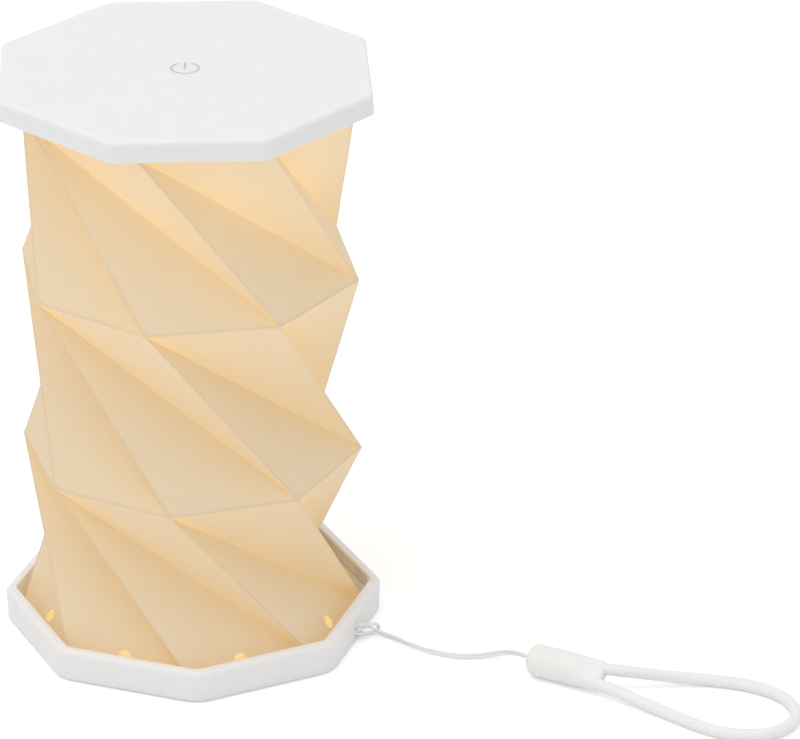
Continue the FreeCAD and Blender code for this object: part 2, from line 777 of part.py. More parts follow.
socket_back = f"({CAP_HALF} - cap_lean - socket_sunk - socket_length)"
board_parts_plan = [
    # length, width, height, x, y of each part's middle: charger chip, touch chip, coil, two capacitors, lead terminals
    ("charger_chip", 4.0, 4.0, 0.9, -10.0, 34.0),
    ("touch_chip", 5.0, 4.0, 1.2, -9.0, 6.0),
    ("coil", 4.0, 4.0, 1.6, 8.0, 32.0),
    ("capacitor_left", 2.0, 1.2, 0.9, -4.0, 40.0),
    ("capacitor_right", 2.0, 1.2, 0.9, 5.0, 40.5),
    ("driver_chip", 3.0, 3.0, 1.0, 9.0, 10.0),
    ("terminal_left", 1.6, 2.4, 0.5, -1.3, "cell_length / 2 + 5.6"),
    ("terminal_right", 1.6, 2.4, 0.5, 1.3, "cell_length / 2 + 5.6"),
]


def board_parts():
    parts = []
    for name, length, width, height, x, y in board_parts_plan:
        parts.append(box(name, length, width, height, f"{x - length / 2}", f"{y} - {width / 2}", BOARD_TOP))
    return group("board_parts", parts)


def board_screws():
    screws = []
    for k, (x, y) in enumerate(post_places):
        head = cylinder(f"board_screw_head_{k}", "1.6", "0.8", x, y, BOARD_TOP)
        length = "(board_thick + board_post + plate_thick / 2 - 0.2)"
        shank = cylinder(f"board_screw_shank_{k}", "screw_radius - screw_play", length, x, y, f"{BOARD_TOP} - {length}")
        screws.append(fuse(f"board_screw_{k}", [head, shank]))
    return group("board_screws", screws)


def usb_c_socket():
    port_z = f"({BOARD_LOW} + board_thick / 2 + 0.8)"

    def stadium(name, width, height, length, back):
        half = f"(({width}) / 2 - ({height}) / 2)"
        pieces = []
        for k, side in enumerate((-1, 1)):
            end = cylinder(f"{name}_end_{k}", f"({height}) / 2", length)
            place(end, f"{side} * {half}", back, port_z)
            end.Placement.Rotation = Rotation(Vector(1, 0, 0), -90)
            pieces.append(end)
        pieces.append(box(f"{name}_middle", f"2 * {half}", length, height, f"-{half}", back, f"{port_z} - ({height}) / 2"))
        return fuse(name, pieces)

    shell = stadium("socket_outside", "socket_width", "socket_height", "socket_length", socket_back)
    hollow = stadium(
        "socket_inside", "socket_width - 2 * socket_shell", "socket_height - 2 * socket_shell",
        "socket_length", f"{socket_back} + 1.2",
    )
    tongue = box("socket_tongue", "6.7", "socket_length - 1.6", "0.7", "-3.35", f"{socket_back} + 0.6", f"{port_z} - 0.35")
    tabs = [
        box(f"socket_tab_{k}_{n}", "1.4", "1.1", "0.3", f"{side} * (socket_width / 2 + 0.4) - 0.7", f"{socket_back} + {y}", BOARD_TOP)
        for k, side in enumerate((-1, 1))
        for n, y in enumerate((0.6, 2.8))
    ]
    return fuse("usb_c_socket", [cut("socket_shell_cut", shell, [hollow]), tongue] + tabs)


def battery_leads():
    leads = []
    cell_z = cap_z - size("cup_depth") + size("cup_wall") + size("tape_thick") + size("cell_thick") / 2
    board_top = cap_z + size("plate_thick") + size("board_post") + size("board_thick")
    end = size("cell_length") / 2
    radius = 0.4
    for side in (-1, 1):
        x = 1.3 * side
        points = [
            Vector(x, end, cell_z),
            Vector(x, end + 2.2, cell_z),
            Vector(x, end + 2.2, board_top + 1.3),
            Vector(x, end + 5.4, board_top + 1.3),
            Vector(x, end + 5.4, board_top + 0.5),
        ]
        leads.append(tube(points, radius, bends=[1.2, 1.0, 0.7]))
    thing = doc.addObject("Part::Feature", "battery_leads")
    thing.Shape = Part.makeCompound(leads)
    return thing


# Lights: a ring of LEDs round the cup, under the plate, behind an opal trough
def led_board():
    ring = cylinder("led_board_disc", LED_OUT, "led_board_thick", z=f"{CAP_LOW} - led_board_thick")
    hole = cylinder("led_board_hole", LED_IN, "led_board_thick", z=f"{CAP_LOW} - led_board_thick")
    return cut("led_board", ring, [hole])


def leds():
    chips = []
    count = 12
    for k in range(count):
        chips.append(
            wall_box(
                f"led_{k}", "led_width", "led_length", "led_height",
                f"({LED_IN} + {LED_OUT}) / 2 - led_width / 2",
                f"{CAP_LOW} - led_board_thick - led_height",
                k * 360.0 / count,
            )
        )
    return group("leds", chips)


def led_pins():
    pins = []
    x, y = led_pin_place
    for k, side in enumerate((-1, 1)):
        pins.append(cylinder(f"led_pin_{k}", "0.4", f"{BOARD_LOW} - {CAP_LOW}", f"{x} + {side} * 1.1", y, CAP_LOW))
    return group("led_pins", pins)


def led_diffuser():
    low = f"{CAP_LOW} - opal_depth"
    solid = cylinder("opal_outside", OPAL_OUT, "opal_depth", z=low)
    bore = cylinder("opal_bore", "cup_radius + cup_play", "opal_depth", z=low)
    rim = cylinder("opal_rim", f"{LED_OUT} + opal_gap", "opal_depth - opal_wall", z=f"{low} + opal_wall")
    core = cylinder("opal_core", "cup_radius + cup_play + opal_wall", "opal_depth - opal_wall", z=f"{low} + opal_wall")
    trough = cut("opal_trough", rim, [core])
    return cut("led_diffuser", solid, [bore, trough])


# Strap. A cord's route is a list of points joined by straight runs, with an arc at each point.
def tube(points, radius, bends=None, report=None):
    edges, start = [], points[0]
    radii = []
    for number in range(1, len(points) - 1):
        before, point, after = points[number - 1 : number + 2]
        way_in = (point - before).normalize()
        way_out = (after - point).normalize()
        half_turn = way_in.getAngle(way_out) / 2
        if bends:
            bend = bends[number - 1]
        else:
            bend = 0.45 * min(point.distanceToPoint(before), point.distanceToPoint(after)) / math.tan(half_turn)
        trim = bend * math.tan(half_turn)
        arc_start = point - way_in * trim
        arc_end = point + way_out * trim
        inward = (way_out - way_in).normalize()
        middle = point + inward * (bend / math.cos(half_turn) - bend)
        if start.distanceToPoint(arc_start) > 1e-6:
            edges.append(Part.LineSegment(start, arc_start).toShape())
        edges.append(Part.Arc(arc_start, middle, arc_end).toShape())
        start = arc_end
        radii.append(bend)
    edges.append(Part.LineSegment(start, points[-1]).toShape())
    path = Part.Wire(edges)
    section = Part.Wire(Part.makeCircle(radius, points[0], points[1] - points[0]))
    solid = path.makePipeShell([section], True, False)
    expected = math.pi * radius**2 * path.Length
    if report:
        print(report, "length", round(path.Length, 1), "radii", [round(r, 1) for r in radii])
        print(report, "volume", round(solid.Volume, 2), "section times length", round(expected, 2))
    if abs(solid.Volume - expected) > 0.03 * expected:
        raise RuntimeError("a tube's volume is wrong")
    return solid


def wall_point(out, along, z):
    # a point beside the strap's wall: out from the wall's face, along the wall, and up
    away = Vector(*direction(STRAP_WALL))
    side = Vector(*direction(STRAP_WALL + 90))
    return away * (tray_half + out) + side * along + Vector(0, 0, z)


def route(points):
    return [wall_point(*point) for point in points]


hole_low = value(TRAY_LOW) + size("strap_hole_rise")
hole_high = hole_low + size("strap_hole_pitch")
hole_along = size("strap_hole_shift")
# the doubled cord runs through the noose, down to the table, and up again into the sleeve
thin_route = [
    (4.8, 3.9, 1.9),
    (6.6, 4.0, 1.2),
    (9.0, 3.7, 0.95),
    (12.4, 2.7, 0.92),
    (16.6, 1.2, 0.92),
    (21.5, -0.3, 0.92),
    (27.9, -1.4, 0.92),
    (33.9, -1.1, 0.92),
    (38.9, 0.7, 0.95),
    (43.0, 2.6, 1.4),
    (46.9, 3.2, 2.5),
    (50.6, 1.8, 3.8),
    (54.0, -0.3, 4.7),
    (57.3, -1.6, 5.0),
]
# its two strands between the lower hole and the noose
strand_high = [
    (0, hole_along, hole_low + 0.44),
    (1.0, hole_along, hole_low + 0.44),
    (2.0, 0.9, 3.9),
    (3.3, 2.8, 3.3),
    (4.9, 3.9, 2.2),
]
strand_low = [
    (0, hole_along, hole_low - 0.44),
    (1.0, hole_along, hole_low - 0.44),
    (2.2, 1.0, 1.9),
    (3.6, 3.0, 1.5),
    (4.9, 3.9, 1.6),
]
# the noose comes out of the upper hole, over the doubled cord, round it, and back between it and the wall
noose_route = [
    (-0.3, hole_along, hole_high + 0.44),
    (0.9, hole_along + 0.4, hole_high + 0.25),
    (2.4, 1.4, 5.2),
    (3.6, 3.8, 4.3),
    (4.9, 5.3, 3.4),
    (5.1, 5.9, 2.1),
    (4.6, 5.8, 0.9),
    (3.5, 5.2, 0.5),
    (1.6, 3.6, 0.45),
    (0.7, 2.3, 0.9),
    (0.55, 0.8, 2.9),
    (0.8, hole_along + 0.45, hole_high - 0.58),
    (-0.3, hole_along, hole_high - 0.44),
]
loop_route = [
    (77.9, -3.6, 6.6),
    (85.4, -3.1, 6.7),
    (92.3, 0.4, 5.2),
    (99.7, 4.9, 3.0),
    (108.3, 8.4, 1.95),
    (118.2, 9.9, 1.87),
    (128.1, 9.2, 1.87),
    (136.7, 5.2, 1.87),
    (141.6, -2.7, 1.87),
    (140.6, -11.8, 1.87),
    (134.2, -18.2, 1.87),
    (124.9, -20.9, 1.87),
    (115.1, -19.0, 1.87),
    (105.1, -15.2, 1.87),
    (95.2, -11.8, 2.2),
    (85.7, -9.1, 3.3),
    (76.9, -7.4, 3.9),
]
sleeve_start = wall_point(56.6, -1.8, size("sleeve_radius"))
sleeve_angle = STRAP_WALL - 8.1
sleeve_roll = 32.0


def strap_hitch():
    # the doubled cord passes behind the wall from hole to hole, and its upper end is a noose
    back = -size("tray_wall") - 1.15
    behind = route(
        [(0, hole_along, hole_high), (back, hole_along, hole_high), (back, hole_along, hole_low), (0, hole_along, hole_low)]
    )
    doubled = tube(behind, size("thin_cord"), bends=[1.0, 1.0])
    noose = tube(route(noose_route), size("thin_cord") / 2, report="noose")
    thing = doc.addObject("Part::Feature", "strap_hitch")
    thing.Shape = doubled.fuse(noose)
    return thing


def strap_cord():
    doubled = tube(route(thin_route), size("doubled_cord") / 2, report="strap_cord")
    strands = [tube(route(points), size("thin_cord") / 2) for points in (strand_high, strand_low)]
    thing = doc.addObject("Part::Feature", "strap_cord")
    thing.Shape = doubled.fuse(strands)
    return thing


def strap_loop():
    thing = doc.addObject("Part::Feature", "strap_loop")
    thing.Shape = tube(route(loop_route), size("loop_cord") / 2, report="strap_loop")
    return thing


def strap_sleeve():
    # round, with a rounded end where the thin cord enters, and drawn in to an oval where the loop leaves
    body = new_body("strap_sleeve")

    def section(name, forward):
        sketch = body.newObject("Sketcher::SketchObject", name)
        sketch.AttachmentSupport = (plane(body, "YZ_Plane"), [""])
        sketch.MapMode = "FlatFace"
        bind(sketch, AttachmentOffset__Base__z=forward)
        return sketch

    def circle(name, forward, radius):
        sketch = section(name, forward)
        sketch.addGeometry(Part.Circle(Vector(0, 0, 0), Vector(0, 0, 1), 4.0), False)
        sketch.addConstraint(Sketcher.Constraint("Coincident", 0, 3, -1, 1))
        number = sketch.addConstraint(Sketcher.Constraint("Radius", 0, 4.0))
        sketch.setExpression(f"Constraints[{number}]", cells(radius))
        return sketch

    rod = circle("sleeve_circle", "0", "sleeve_radius")
    pad(body, "sleeve_rod", rod, "sleeve_length - sleeve_taper")
    round_edges(body, "sleeve_end", "sleeve_round", lambda edge: edge.BoundBox.XMax < 0.1)
    wide = circle("sleeve_wide", "sleeve_length - sleeve_taper", "sleeve_radius")
    oval = section("sleeve_oval", "sleeve_length")
    turn = math.radians(sleeve_roll)
    half_wide, half_high = size("sleeve_end_width") / 2, size("sleeve_end_height") / 2
    axis = Vector(math.cos(turn), math.sin(turn), 0)
    across = Vector(-math.sin(turn), math.cos(turn), 0)
    oval.addGeometry(Part.Ellipse(axis * half_wide, across * half_high, Vector(0, 0, 0)), False)
    doc.recompute()
    loft(body, "sleeve_neck", wide, oval)
    body.Placement = Placement(sleeve_start, Rotation(Vector(0, 0, 1), sleeve_angle))
    return body


low_frame_z = f"({FLOOR} + flange_thick)"
high_frame_z = f"({CAP_LOW} - flange_thick - frame_thick)"
nodes = {
    "foot_pad": foot_pad(),
    "base_tray": base_tray(),
    "closure_strips": closure_strips(),
    "shade_frame_lower": clamp_frame("shade_frame_lower", low_frame_z, low_frame_z, -90.0, low_screw_angles),
    "frame_screws_lower": frame_screws("frame_screws_lower", low_screw_angles, "pad_thick", True),
    "pleated_shade": pleated_shade(),
    "shade_frame_upper": clamp_frame(
        "shade_frame_upper", high_frame_z, f"({high_frame_z} - frame_boss_height)", -HALF_TURN, high_screw_angles
    ),
    "frame_screws_upper": frame_screws("frame_screws_upper", high_screw_angles, PLATE_TOP, False),
    "cap_plate": cap_plate(),
    "cap_cover": cap_cover(),
    "power_mark": power_mark(),
    "cap_screws": cap_screws(),
    "closure_magnets": closure_magnets(),
    "touch_plate": touch_plate(),
    "touch_foam": touch_foam(),
    "control_board": control_board(),
    "board_parts": board_parts(),
    "board_screws": board_screws(),
    "usb_c_socket": usb_c_socket(),
    "battery_cup": battery_cup(),
    "battery_tape": battery_tape(),
    "battery_cell": battery_cell(),
    "battery_leads": battery_leads(),
    "led_board": led_board(),
    "leds": leds(),
    "led_pins": led_pins(),
    "led_diffuser": led_diffuser(),
    "strap_hitch": strap_hitch(),
    "strap_cord": strap_cord(),
    "strap_sleeve": strap_sleeve(),
    "strap_loop": strap_loop(),
}
doc.recompute()

broken = [thing.Name for thing in doc.Objects if "Invalid" in thing.State or "Error" in thing.State]
if broken:
    raise RuntimeError(f"failed objects: {broken}")
for name, thing in nodes.items():
    thing.Label = name
    if thing.Shape.isNull() or not thing.Shape.isValid():
        raise RuntimeError(f"{name} has no valid shape")
    if not thing.Shape.Solids:
        raise RuntimeError(f"{name} has no solid")
for name, thing in nodes.items():
    thing.Shape.exportStep(f"parts/{name}.step")
    box_of = thing.Shape.BoundBox
    span = [round(v, 2) for v in (box_of.XMin, box_of.YMin, box_of.ZMin, box_of.XMax, box_of.YMax, box_of.ZMax)]
    print(name, "solids", len(thing.Shape.Solids), "volume", round(thing.Shape.Volume, 1), span)
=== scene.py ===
import math

import bmesh
import bpy
from mathutils import Euler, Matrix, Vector


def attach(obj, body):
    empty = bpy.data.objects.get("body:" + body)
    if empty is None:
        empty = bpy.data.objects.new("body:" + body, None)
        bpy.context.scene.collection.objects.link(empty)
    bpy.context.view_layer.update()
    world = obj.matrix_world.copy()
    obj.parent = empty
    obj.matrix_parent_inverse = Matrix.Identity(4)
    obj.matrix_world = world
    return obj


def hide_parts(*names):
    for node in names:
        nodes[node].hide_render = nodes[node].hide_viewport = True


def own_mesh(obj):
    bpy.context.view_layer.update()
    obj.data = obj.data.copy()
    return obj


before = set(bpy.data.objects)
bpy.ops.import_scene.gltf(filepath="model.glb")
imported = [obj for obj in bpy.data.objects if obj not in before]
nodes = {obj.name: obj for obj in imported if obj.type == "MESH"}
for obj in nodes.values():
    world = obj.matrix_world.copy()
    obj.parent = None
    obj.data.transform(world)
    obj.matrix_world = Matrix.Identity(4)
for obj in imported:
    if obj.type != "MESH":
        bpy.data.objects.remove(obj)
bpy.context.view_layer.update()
mm = 0.001
print("frame loaded:", len(nodes), "pieces")


def colour(hexCode):
    # an sRGB hex value as linear light
    parts = [int(hexCode[i:i + 2], 16) / 255 for i in (0, 2, 4)]
    return [p / 12.92 if p <= 0.04045 else ((p + 0.055) / 1.055) ** 2.4 for p in parts] + [1.0]


def addNode(tree, kind, inputs=None, **settings):
    # one node, with its settings, and its inputs linked or given a value
    node = tree.nodes.new(kind)
    for name, value in settings.items():
        setattr(node, name, value)
    for socket, value in (inputs or {}).items():
        if isinstance(value, bpy.types.NodeSocket):
            tree.links.new(value, node.inputs[socket])
        else:
            node.inputs[socket].default_value = value
    return node


# Camera, from the photograph: it looks down at about 26 degrees with a long lens
camera = {
    "place": (-14.777 * mm, -1342.47 * mm, 736.684 * mm),
    "turn": (64.05242, -0.2223, -3.25644),
    "lens": 220.08,
    "sensor": 36.0,
    "clipStart": 0.01,
}
cameraData = bpy.data.cameras.new("camera")
cameraData.sensor_width = camera["sensor"]
cameraData.sensor_fit = "HORIZONTAL"
cameraData.lens = camera["lens"]
cameraData.clip_start = camera["clipStart"]
cameraObject = bpy.data.objects.new("camera", cameraData)
cameraObject.location = camera["place"]
cameraObject.rotation_euler = Euler([math.radians(a) for a in camera["turn"]])
bpy.context.scene.collection.objects.link(cameraObject)
bpy.context.scene.camera = cameraObject
print("camera set")


def linkMesh(name, mesh, *materials):
    thing = bpy.data.objects.new(name, mesh)
    bpy.context.scene.collection.objects.link(thing)
    for material in materials:
        mesh.materials.append(material)
    return thing


def bakeMesh(thing):
    # the evaluated object as a plain mesh, with its modifiers gone
    bpy.context.view_layer.update()
    evaluated = thing.evaluated_get(bpy.context.evaluated_depsgraph_get())
    mesh = bpy.data.meshes.new_from_object(evaluated)
    thing.modifiers.clear()
    thing.data = mesh
    return thing


def patternPlace(tree, millimetres, stretch=(1.0, 1.0, 1.0)):
    # object coordinates scaled so that one unit of a pattern is so many millimetres
    coordinates = addNode(tree, "ShaderNodeTexCoord")
    size = [1 / (millimetres * mm) * s for s in stretch]
    return addNode(
        tree, "ShaderNodeMapping", {"Vector": coordinates.outputs["Object"], "Scale": size}
    ).outputs["Vector"]


def newFinish(name, **constants):
    # a material whose shader holds on its own sockets what is the same all over
    material = bpy.data.materials.new(name)
    material.use_nodes = True
    shader = material.node_tree.nodes["Principled BSDF"]
    for socket, value in constants.items():
        shader.inputs[socket.replace("_", " ")].default_value = value
    return material, material.node_tree, shader


# A patch of a finish's colour is 14 grains wide, and its grain's noise lies nearly all between low and high
grains = {"patch": 14, "low": 0.3, "high": 0.7}


def grainedFinish(
    name, light, dark, grain, depth, roughness, spread=0.05, stretch=(1.0, 1.0, 1.0), **constants
):
    # two close colours in soft patches, and a fine grain that moves the roughness and the relief
    material, tree, shader = newFinish(name, **constants)
    patches = addNode(
        tree, "ShaderNodeTexNoise",
        {"Vector": patternPlace(tree, grain * grains["patch"], stretch), "Scale": 1.0, "Detail": 3.0},
    )
    tint = addNode(
        tree, "ShaderNodeMix", {0: patches.outputs["Fac"], 6: colour(dark), 7: colour(light)},
        data_type="RGBA",
    )
    tree.links.new(tint.outputs[2], shader.inputs["Base Color"])
    grit = addNode(
        tree, "ShaderNodeTexNoise",
        {"Vector": patternPlace(tree, grain, stretch), "Scale": 1.0, "Detail": 4.0, "Roughness": 0.6},
    )
    rough = addNode(
        tree, "ShaderNodeMapRange",
        {
            "Value": grit.outputs["Fac"], "From Min": grains["low"], "From Max": grains["high"],
            "To Min": roughness - spread, "To Max": roughness + spread,
        },
    )
    tree.links.new(rough.outputs["Result"], shader.inputs["Roughness"])
    relief = addNode(
        tree, "ShaderNodeBump", {"Height": grit.outputs["Fac"], "Strength": 1.0, "Distance": depth * mm}
    )
    tree.links.new(relief.outputs["Normal"], shader.inputs["Normal"])
    return material


# White ABS, injection moulded in a spark-eroded mould: an even satin white with a very fine grain
mouldedAbs = grainedFinish(
    "mouldedAbs", "F4F4F4", "F1F1F2", 0.35, 0.006, 0.52, IOR=1.50, Subsurface_Weight=0.3,
    Subsurface_Radius=(0.003, 0.003, 0.003), Subsurface_Scale=1.0,
)
# White PC-ABS, moulded smooth: the frames and the plate, a little greyer, with soft reflections
smoothAbs = grainedFinish("smoothAbs", "E8E8E6", "E0E0DE", 0.5, 0.004, 0.42, IOR=1.52)
# Grey pad-printed ink set into the groove of the mark: flat and dry
markInk = grainedFinish("markInk", "CBCBCD", "C2C2C4", 0.2, 0.004, 0.65)
# Silicone foot, cast: dark and dull, with a dusty grain
castRubber = grainedFinish("castRubber", "4A4A4C", "3E3E40", 0.3, 0.012, 0.8, IOR=1.43)
# Cold-rolled steel strip under a zinc-flake coat: matt grey with fine streaks. Its colour is painted pale and
# bluish, as light in place of the shade inside the tray and against the paper's warm bounce light
stripSteelPaintedLight = grainedFinish(
    "stripSteelPaintedLight", "E9ECF2", "C8CBD2", 0.3, 0.02, 0.6, 0.1, (1.0, 1.0, 0.3), Metallic=0.1
)
# Zinc-plated steel screws: bright with a faint blue haze
zincSteel = grainedFinish("zincSteel", "C8CBCF", "B9BCC2", 0.3, 0.004, 0.32, Metallic=1.0)
# Nickel-plated magnet: mirror-like, a little yellow
nickelPlate = grainedFinish("nickelPlate", "D2CCC0", "C4BEB2", 0.4, 0.002, 0.22, Metallic=1.0)
# Copper foil, rolled: warm and satin, with fine lines one way
copperFoil = grainedFinish(
    "copperFoil", "DA9A78", "C98863", 0.4, 0.003, 0.3, 0.08, (0.2, 1.0, 1.0), Metallic=1.0
)
# Conductive foam, carbon-filled: dark grey and dull, with coarse cells
carbonFoam = grainedFinish("carbonFoam", "55555A", "3C3C40", 0.5, 0.08, 0.95)
# Green solder mask over glass fibre: an even dark green with a half gloss
solderMask = grainedFinish("solderMask", "2F6B45", "245638", 0.6, 0.006, 0.35, IOR=1.5)
# White solder mask, to throw the light down: a warm white with a half gloss
whiteMask = grainedFinish("whiteMask", "F2F1EC", "E8E7E1", 0.6, 0.006, 0.4, IOR=1.5)
# Epoxy chip bodies, matt black
epoxyBlack = grainedFinish("epoxyBlack", "2A2A2C", "202022", 0.2, 0.006, 0.6)
# Stamped stainless steel, the shell of the socket: a smooth bright grey
stampedSteel = grainedFinish("stampedSteel", "C4C6C8", "AEB0B3", 0.4, 0.003, 0.28, Metallic=1.0)
# Closed-cell foam tape: off-white and quite dull
foamTape = grainedFinish("foamTape", "E4E2DA", "D4D2CA", 0.4, 0.05, 0.95)
# Aluminium-laminate pouch of the cell: satin silver with soft dents
foilPouch = grainedFinish("foilPouch", "C9CCD1", "B6BAC0", 1.2, 0.03, 0.36, Metallic=0.9)
# Red PVC, extruded round the leads: smooth with a soft gloss
pvcWire = grainedFinish("pvcWire", "B53A34", "9E302B", 0.4, 0.004, 0.4, IOR=1.53)
# Turned brass pins: pale yellow and bright
turnedBrass = grainedFinish("turnedBrass", "D9BC78", "C4A660", 0.2, 0.003, 0.28, Metallic=1.0)
# Phosphor under clear silicone: yellow lens that glows
ledLens = grainedFinish(
    "ledLens", "F6DE8C", "EFD070", 0.3, 0.004, 0.3, Emission_Color=colour("FFD690"), Emission_Strength=1.0
)
# Opal acrylic, moulded and lit from behind: milky, with an even warm glow
opalAcrylic = grainedFinish(
    "opalAcrylic", "FBF6EA", "F6EFDF", 0.8, 0.003, 0.35, Emission_Color=colour("FFDC9C"),
    Emission_Strength=0.6,
)

finishes = {
    "foot_pad": castRubber, "base_tray": mouldedAbs, "closure_strips": stripSteelPaintedLight,
    "shade_frame_lower": smoothAbs, "shade_frame_upper": smoothAbs, "frame_screws_lower": zincSteel,
    "frame_screws_upper": zincSteel, "cap_plate": smoothAbs, "cap_cover": mouldedAbs, "power_mark": markInk,
    "cap_screws": zincSteel, "closure_magnets": nickelPlate, "touch_plate": copperFoil,
    "touch_foam": carbonFoam, "control_board": solderMask, "board_parts": epoxyBlack,
    "board_screws": zincSteel, "usb_c_socket": stampedSteel, "battery_cup": smoothAbs,
    "battery_tape": foamTape, "battery_cell": foilPouch, "battery_leads": pvcWire, "led_board": whiteMask,
    "leds": ledLens, "led_pins": turnedBrass, "led_diffuser": opalAcrylic,
}
for name, material in finishes.items():
    for place in nodes[name].material_slots:
        place.material = material
print("finishes given to", len(finishes), "pieces")

# Strap, in millimetres. Its routes repeat the model's points: out from the tray's wall, along it, and up.
# A leg is the strand inside the wall, from one hole to the other
strap = {
    "wallReach": 54.104, "wallTurn": -22.5,
    "strand": 0.46, "noose": 0.54, "pairGap": 0.44, "pairTurns": 0.55, "loopRadius": 1.85,
    "holeLow": 3.0, "holeHigh": 5.6, "holeAlong": -1.0, "legGap": 0.43, "legDepths": (0.2, -2.0, -4.1),
    "strandSides": 10, "loopSides": 24, "routeSteps": 10,
}
wallTurn = math.radians(strap["wallTurn"])
wallOut = Vector((math.cos(wallTurn), math.sin(wallTurn), 0))
wallAlong = Vector((-math.sin(wallTurn), math.cos(wallTurn), 0))


def wallPoint(out, along, up):
    return (wallOut * (strap["wallReach"] + out) + wallAlong * along + Vector((0, 0, up))) * mm


def routeLine(points):
    # the smooth line along a route, read from a NURBS spline whose control points are the route's points
    curve = bpy.data.curves.new("route", "CURVE")
    curve.dimensions = "3D"
    spline = curve.splines.new("NURBS")
    spline.points.add(len(points) - 1)
    for knot, point in zip(spline.points, points):
        knot.co = (*wallPoint(*point), 1.0)
    spline.order_u = 3
    spline.use_endpoint_u = True
    spline.resolution_u = strap["routeSteps"]
    thing = bpy.data.objects.new("route", curve)
    bpy.context.scene.collection.objects.link(thing)
    bpy.context.view_layer.update()
    mesh = bpy.data.meshes.new_from_object(thing)
    line = [v.co.copy() for v in mesh.vertices]
    bpy.data.objects.remove(thing)
    bpy.data.meshes.remove(mesh)
    return line


def lineFrames(line):
    # at each point of a line: the point, two directions square to it that never spin, and the length so far
    frames, run = [], 0.0
    way = (line[1] - line[0]).normalized()
    side = way.cross(Vector((0, 0, 1)))
    side = (side if side.length > 0.1 else way.cross(Vector((1, 0, 0)))).normalized()
    for number, point in enumerate(line):
        after = line[min(number + 1, len(line) - 1)]
        before = line[max(number - 1, 0)]
        way = (after - before).normalized()
        side = (side - way * side.dot(way)).normalized()
        run += (point - before).length if number else 0.0
        frames.append((point, side, way.cross(side), run))
    return frames


def tubeMesh(name, tubes, sides, material):
    # closed round tubes in one mesh, with the turn round each tube and the millimetres along it as its UV map
    shape = bmesh.new()
    layer = shape.loops.layers.uv.new("cordMap")
    for line, radius in tubes:
        rings, runs = [], []
        for point, side, up, run in lineFrames(line):
            angles = [2 * math.pi * k / sides for k in range(sides)]
            rings.append(
                [shape.verts.new(point + (side * math.cos(t) + up * math.sin(t)) * radius) for t in angles]
            )
            runs.append(run / mm)
        for n in range(len(rings) - 1):
            for k in range(sides):
                after = (k + 1) % sides
                face = shape.faces.new((rings[n][k], rings[n][after], rings[n + 1][after], rings[n + 1][k]))
                face.smooth = True
                for loop, (u, v) in zip(face.loops, ((k, n), (k + 1, n), (k + 1, n + 1), (k, n + 1))):
                    loop[layer].uv = (u / sides, runs[v])
        shape.faces.new(list(reversed(rings[0])))
        shape.faces.new(rings[-1])
    bmesh.ops.recalc_face_normals(shape, faces=shape.faces)
    mesh = bpy.data.meshes.new(name)
    shape.to_mesh(mesh)
    shape.free()
    return linkMesh(name, mesh, material)


# Loose fibres on a braid: their size in millimetres, and their share of the relief. Between two yarns the
# colour is painted darker as shade, at its darkest where the weave's height is below hollow
braid = {"fuzzSize": 0.25, "fuzzShare": 0.35, "hollow": -0.4}


def braidedFinish(name, light, dark, around, pitch, depth, roughness):
    # two sets of yarns that cross round a cord: around is how many, pitch the millimetres that one takes
    material, tree, shader = newFinish(name, Roughness=roughness, Sheen_Weight=0.25, Sheen_Roughness=0.5)
    place = addNode(tree, "ShaderNodeUVMap", uv_map="cordMap")
    axes = addNode(tree, "ShaderNodeSeparateXYZ", {0: place.outputs["UV"]})
    turns = addNode(
        tree, "ShaderNodeMath", {0: axes.outputs["X"], 1: around * 2 * math.pi}, operation="MULTIPLY"
    )
    climb = addNode(
        tree, "ShaderNodeMath", {0: axes.outputs["Y"], 1: 2 * math.pi / pitch}, operation="MULTIPLY"
    )
    yarns = []
    for operation in ("ADD", "SUBTRACT"):
        phase = addNode(
            tree, "ShaderNodeMath", {0: turns.outputs[0], 1: climb.outputs[0]}, operation=operation
        )
        yarns.append(addNode(tree, "ShaderNodeMath", {0: phase.outputs[0]}, operation="SINE").outputs[0])
    weave = addNode(tree, "ShaderNodeMath", {0: yarns[0], 1: yarns[1]}, operation="MAXIMUM")
    share = addNode(
        tree, "ShaderNodeMapRange", {"Value": weave.outputs[0], "From Min": braid["hollow"], "From Max": 1.0}
    )
    # painted shade: the white yarns go darker where the weave is low, between the yarns
    tint = addNode(
        tree, "ShaderNodeMix", {0: share.outputs[0], 6: colour(dark), 7: colour(light)}, data_type="RGBA"
    )
    tree.links.new(tint.outputs[2], shader.inputs["Base Color"])
    fuzz = addNode(
        tree, "ShaderNodeTexNoise",
        {"Vector": patternPlace(tree, braid["fuzzSize"]), "Scale": 1.0, "Detail": 3.0},
    )
    height = addNode(
        tree, "ShaderNodeMath", {0: fuzz.outputs["Fac"], 1: braid["fuzzShare"], 2: share.outputs[0]},
        operation="MULTIPLY_ADD",
    )
    relief = addNode(
        tree, "ShaderNodeBump", {"Height": height.outputs[0], "Strength": 1.0, "Distance": depth * mm}
    )
    tree.links.new(relief.outputs["Normal"], shader.inputs["Normal"])
    return material


# Fine polyester braid, tight and slightly shiny: the yarns show as a faint diagonal ripple
thinBraid = braidedFinish("thinPolyesterBraid", "FAFAFA", "F0F0F1", 6, 1.1, 0.02, 0.6)
# Soft round nylon braid of the finger loop: flat wide yarns, nearly smooth
softBraid = braidedFinish("softNylonBraid", "F8F8F8", "F5F5F5", 8, 5.0, 0.02, 0.7)
# Silicone sleeve, moulded with a matt skin: soft edges, no gloss, a faint dusty grain
mattSilicone = grainedFinish("mattSilicone", "F9F9F9", "F6F6F6", 0.4, 0.008, 0.62, IOR=1.43)

